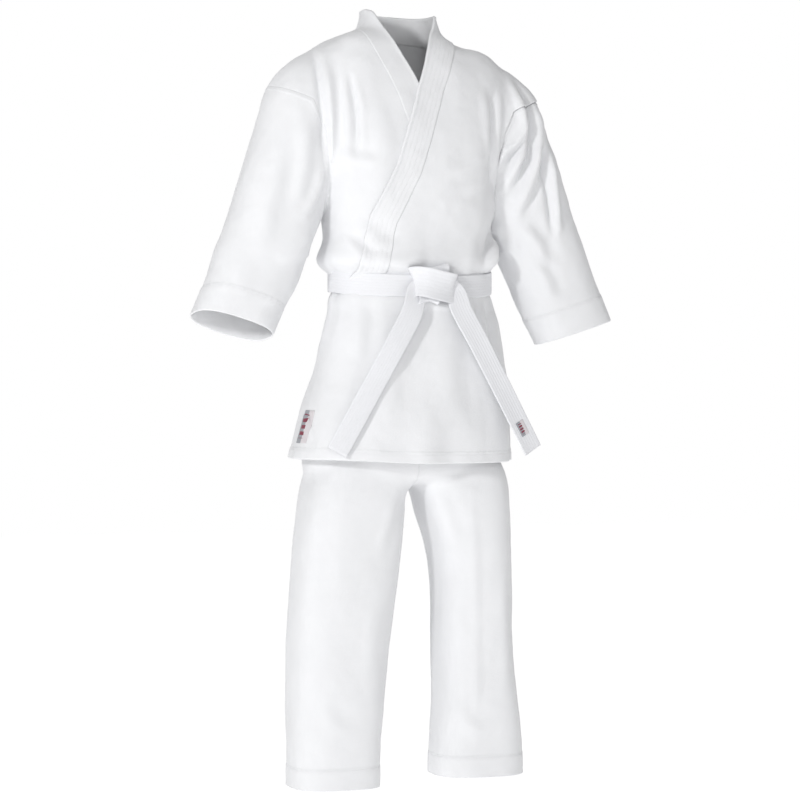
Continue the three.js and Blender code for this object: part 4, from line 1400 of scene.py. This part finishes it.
def patch(name, middle, half_wide, half_tall, out):
    """A small sewn label, slightly cushioned, with its pattern coordinates from 0 to 1."""
    count = 13
    v = np.linspace(-1, 1, count)
    a, b = np.meshgrid(v, v, indexing="ij")
    a, b = a.ravel(), b.ravel()
    swell = 0.0004 * (1 - np.abs(a) ** 6) * (1 - np.abs(b) ** 6)
    rows = np.zeros((count * count, 11))
    rows[:, PLACE] = middle + np.outer(a, half_wide) + np.outer(b, half_tall) + np.outer(swell, out)
    rows[:, NORMAL] = out
    rows[:, WEAVE] = np.stack([(a + 1) / 2, (b + 1) / 2], 1)
    i, j = np.meshgrid(np.arange(count - 1), np.arange(count - 1), indexing="ij")
    k = (i * count + j).ravel()
    triangles = np.concatenate([np.stack([k, k + count, k + count + 1], 1), np.stack([k, k + count + 1, k + 1], 1)])
    if np.cross(half_wide, half_tall) @ out < 0:
        triangles = triangles[:, ::-1]
    points, faces, weave = walled(rows, triangles, -0.0004, 0.0003)
    piece = make_object(name, points, faces, material("label"), weave)
    return piece


class UNIFORM_OT_labels(bpy.types.Operator):
    """Sews the corner label on the skirt and the size label inside the neck, and lays the ties under the belt."""

    bl_idname = "uniform.labels"
    bl_label = "Labels and ties"

    def execute(self, context):
        sheet = Garment.jacket()
        low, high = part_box("jacket_label")
        region = (
            lambda f: -f.x,
            lambda f: f.z - low.z,
            lambda f: high.z - f.z,
            lambda f: f.y - low.y,
            lambda f: high.y - f.y,
            Fields.front,
        )
        corner = keep(sheet, *region)
        rest = corner[0][:, REST]
        across, up = (high.y - rest[:, 1]) / (high.y - low.y), (rest[:, 2] - low.z) / (high.z - low.z)
        corner[0][:, WEAVE] = np.stack([across, up], 1)
        base = over_lift(corner[0]) + CLOTH * 0.6
        piece = piece_of("corner_label", corner, base + 0.0001, base + 0.0011, "label")
        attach(piece, "jacket")
        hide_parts("jacket_label")
        low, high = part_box("neck_label")
        level = (lambda f: f.z - low.z, lambda f: high.z - f.z)
        inside = keep(sheet, lambda f: f.x - low.x, lambda f: high.x - f.x, *level, lambda f: f.y)
        rest = inside[0][:, REST]
        across, up = (rest[:, 0] - low.x) / (high.x - low.x), (rest[:, 2] - low.z) / (high.z - low.z)
        inside[0][:, WEAVE] = np.stack([across, up], 1)
        piece = piece_of("size_label", inside, -CLOTH * 0.4 - 0.0012, -CLOTH * 0.4 - 0.0002, "label")
        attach(piece, "jacket")
        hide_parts("neck_label")
        for name, node, inner in (("outer_tie_tape", "outer_tie", 0.0056), ("inner_tie_tape", "inner_tie", -0.0022)):
            low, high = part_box(node)
            side = -1 if low.x < 0 else 1
            beside = (lambda f: f.x * side - 0.10, lambda f: 0.19 - f.x * side)
            along = (lambda f: f.y - low.y, lambda f: high.y - f.y)
            tape = keep(sheet, *beside, *level, *along)
            piece = piece_of(name, tape, inner, inner + 0.0010, "facing")
            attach(piece, "jacket")
            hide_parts(node)
        return {"FINISHED"}


# ---- Camera, light and floor ---------------------------------------------------------------------


class UNIFORM_OT_stage(bpy.types.Operator):
    """Sets the camera, the soft studio light, the pale floor and the backdrop."""

    bl_idname = "uniform.stage"
    bl_label = "Stage"

    def execute(self, context):
        stage = context.scene.uniform_stage
        target = Vector(stage.target)
        turn, rise = stage.azimuth, stage.elevation
        back = Vector((math.sin(turn) * math.cos(rise), -math.cos(turn) * math.cos(rise), math.sin(rise)))
        camera = bpy.data.objects.new("camera", bpy.data.cameras.new("camera"))
        camera.location = target + back * stage.distance
        camera.rotation_euler = (-back).to_track_quat("-Z", "Y").to_euler()
        camera.data.lens = stage.lens
        camera.data.clip_end = 60
        context.collection.objects.link(camera)
        context.scene.camera = camera
        self.light("key_softbox", (-3.45, -2.7, 0.8), (0, 0, -0.6), 0.55, stage.key_power)
        self.light("fill_softbox", (-1.3, -4.7, 0.5), (0, 0, -0.4), 1.2, stage.key_power * 0.42)
        self.light("top_softbox", (-0.4, -0.6, 2.8), (0, 0, -0.5), 1.8, stage.key_power * 0.10)
        world = bpy.data.worlds.new("studio")
        world.use_nodes = True
        tree = world.node_tree
        seen = tree.nodes.new("ShaderNodeLightPath").outputs["Is Camera Ray"]
        bright = tree.nodes.new("ShaderNodeMapRange")
        bright.inputs["To Min"].default_value = stage.room_light
        bright.inputs["To Max"].default_value = 1.0
        tree.links.new(seen, bright.inputs["Value"])
        tree.links.new(bright.outputs[0], tree.nodes["Background"].inputs["Strength"])
        tree.nodes["Background"].inputs["Color"].default_value = (1, 1, 1, 1)
        context.scene.world = world
        context.scene.view_settings.view_transform = "Standard"
        floor_z = CAD_BOX[0][2] - FLOOR_FALL
        paper = plain("white_paper", (0.93, 0.93, 0.935), 0.9)
        paper.node_tree.nodes["Principled BSDF"].inputs["Emission Color"].default_value = (1, 1, 1, 1)
        paper.node_tree.nodes["Principled BSDF"].inputs["Emission Strength"].default_value = 0.66
        half = 14.0
        corners = [(x * half, y * half, floor_z) for x, y in ((-1, -1), (1, -1), (1, 1), (-1, 1))]
        floor = make_object("floor", corners, [(0, 1, 2, 3)], paper)
        return {"FINISHED"}

    def light(self, name, place, aim, size, power):
        data = bpy.data.lights.new(name, "AREA")
        data.shape = "DISK"
        data.size = size
        data.energy = power
        lamp = bpy.data.objects.new(name, data)
        lamp.location = place
        lamp.rotation_euler = (Vector(aim) - Vector(place)).to_track_quat("-Z", "Y").to_euler()
        bpy.context.collection.objects.link(lamp)


# ---- Settings, panel and registration ------------------------------------------------------------


class UNIFORM_ClothSettings(bpy.types.PropertyGroup):
    """Sizes and colours of the cloth."""

    grain: FloatProperty(name="Grain", description="Size of one step of the cloth's mesh", default=0.004, unit="LENGTH")
    fold_strength: FloatProperty(name="Fold strength", description="Scale of every fold", default=1.3, subtype="FACTOR")
    canvas_colour: FloatVectorProperty(
        name="Canvas", description="Colour of the canvas",
        default=(0.84, 0.845, 0.86), subtype="COLOR",
    )
    facing_colour: FloatVectorProperty(
        name="Facing", description="Colour of tapes and facings",
        default=(0.80, 0.80, 0.82), subtype="COLOR",
    )
    belt_colour: FloatVectorProperty(
        name="Belt", description="Colour of the belt",
        default=(0.83, 0.835, 0.86), subtype="COLOR",
    )
    thread_colour: FloatVectorProperty(
        name="Thread", description="Colour of the sewing thread",
        default=(0.86, 0.86, 0.88), subtype="COLOR",
    )
    label_colour: FloatVectorProperty(
        name="Label bars", description="Colour of the bars on the labels",
        default=(0.22, 0.015, 0.045), subtype="COLOR",
    )


class UNIFORM_StitchSettings(bpy.types.PropertyGroup):
    """Sizes of the sewing."""

    pitch: FloatProperty(
        name="Pitch", description="Distance from one stitch to the next",
        default=0.0040, unit="LENGTH",
    )
    length: FloatProperty(name="Length", description="Visible length of one stitch", default=0.0028, unit="LENGTH")
    radius: FloatProperty(name="Radius", description="Radius of the thread", default=0.00032, unit="LENGTH")


class UNIFORM_BeltSettings(bpy.types.PropertyGroup):
    """Sizes of the belt."""

    width: FloatProperty(name="Width", description="Width of the belt", default=BELT_WIDTH, unit="LENGTH")
    thickness: FloatProperty(name="Thickness", description="Thickness of the belt", default=0.0036, unit="LENGTH")


class UNIFORM_StageSettings(bpy.types.PropertyGroup):
    """Camera and light."""

    azimuth: FloatProperty(
        name="Azimuth", description="Camera's turn from straight in front",
        default=math.radians(-18), unit="ROTATION",
    )
    elevation: FloatProperty(
        name="Elevation", description="Camera's rise above level",
        default=math.radians(1.0), unit="ROTATION",
    )
    distance: FloatProperty(
        name="Distance", description="Camera's distance from its target",
        default=5.2, unit="LENGTH",
    )
    lens: FloatProperty(name="Lens", description="Focal length in millimetres", default=129.0)
    target: FloatVectorProperty(
        name="Target", description="Point that the camera looks at",
        default=(-0.004, 0.0, -0.662), subtype="TRANSLATION",
    )
    key_power: FloatProperty(name="Key light", description="Power of the main softbox in watts", default=70.0)
    room_light: FloatProperty(name="Room light", description="Brightness of the white room", default=0.38)


class UNIFORM_PT_panel(bpy.types.Panel):
    """Lists the pieces of the uniform."""

    bl_label = "Uniform"
    bl_space_type = "VIEW_3D"
    bl_region_type = "UI"
    bl_category = "Uniform"

    def draw(self, context):
        for operator in STEPS:
            self.layout.operator(operator.bl_idname)
        for settings in ("uniform_cloth", "uniform_stitch", "uniform_belt", "uniform_stage"):
            group = getattr(context.scene, settings)
            for key in group.__annotations__:
                self.layout.prop(group, key)


STEPS = (
    UNIFORM_OT_stage,
    UNIFORM_OT_jacket_fronts,
    UNIFORM_OT_jacket_back,
    UNIFORM_OT_lapels,
    UNIFORM_OT_sleeves,
    UNIFORM_OT_trousers,
    UNIFORM_OT_belt,
    UNIFORM_OT_labels,
)
GROUPS = {
    "uniform_cloth": UNIFORM_ClothSettings,
    "uniform_stitch": UNIFORM_StitchSettings,
    "uniform_belt": UNIFORM_BeltSettings,
    "uniform_stage": UNIFORM_StageSettings,
}


def register():
    for group in GROUPS.values():
        bpy.utils.register_class(group)
    for name, group in GROUPS.items():
        setattr(bpy.types.Scene, name, PointerProperty(type=group))
    for operator in STEPS:
        bpy.utils.register_class(operator)
    bpy.utils.register_class(UNIFORM_PT_panel)


def unregister():
    bpy.utils.unregister_class(UNIFORM_PT_panel)
    for operator in reversed(STEPS):
        bpy.utils.unregister_class(operator)
    for name in GROUPS:
        delattr(bpy.types.Scene, name)
    for group in reversed(list(GROUPS.values())):
        bpy.utils.unregister_class(group)


def main():
    register()
    for step in STEPS:
        area, action = step.bl_idname.split(".")
        getattr(getattr(bpy.ops, area), action)()


if __name__ == "__main__":
    main()
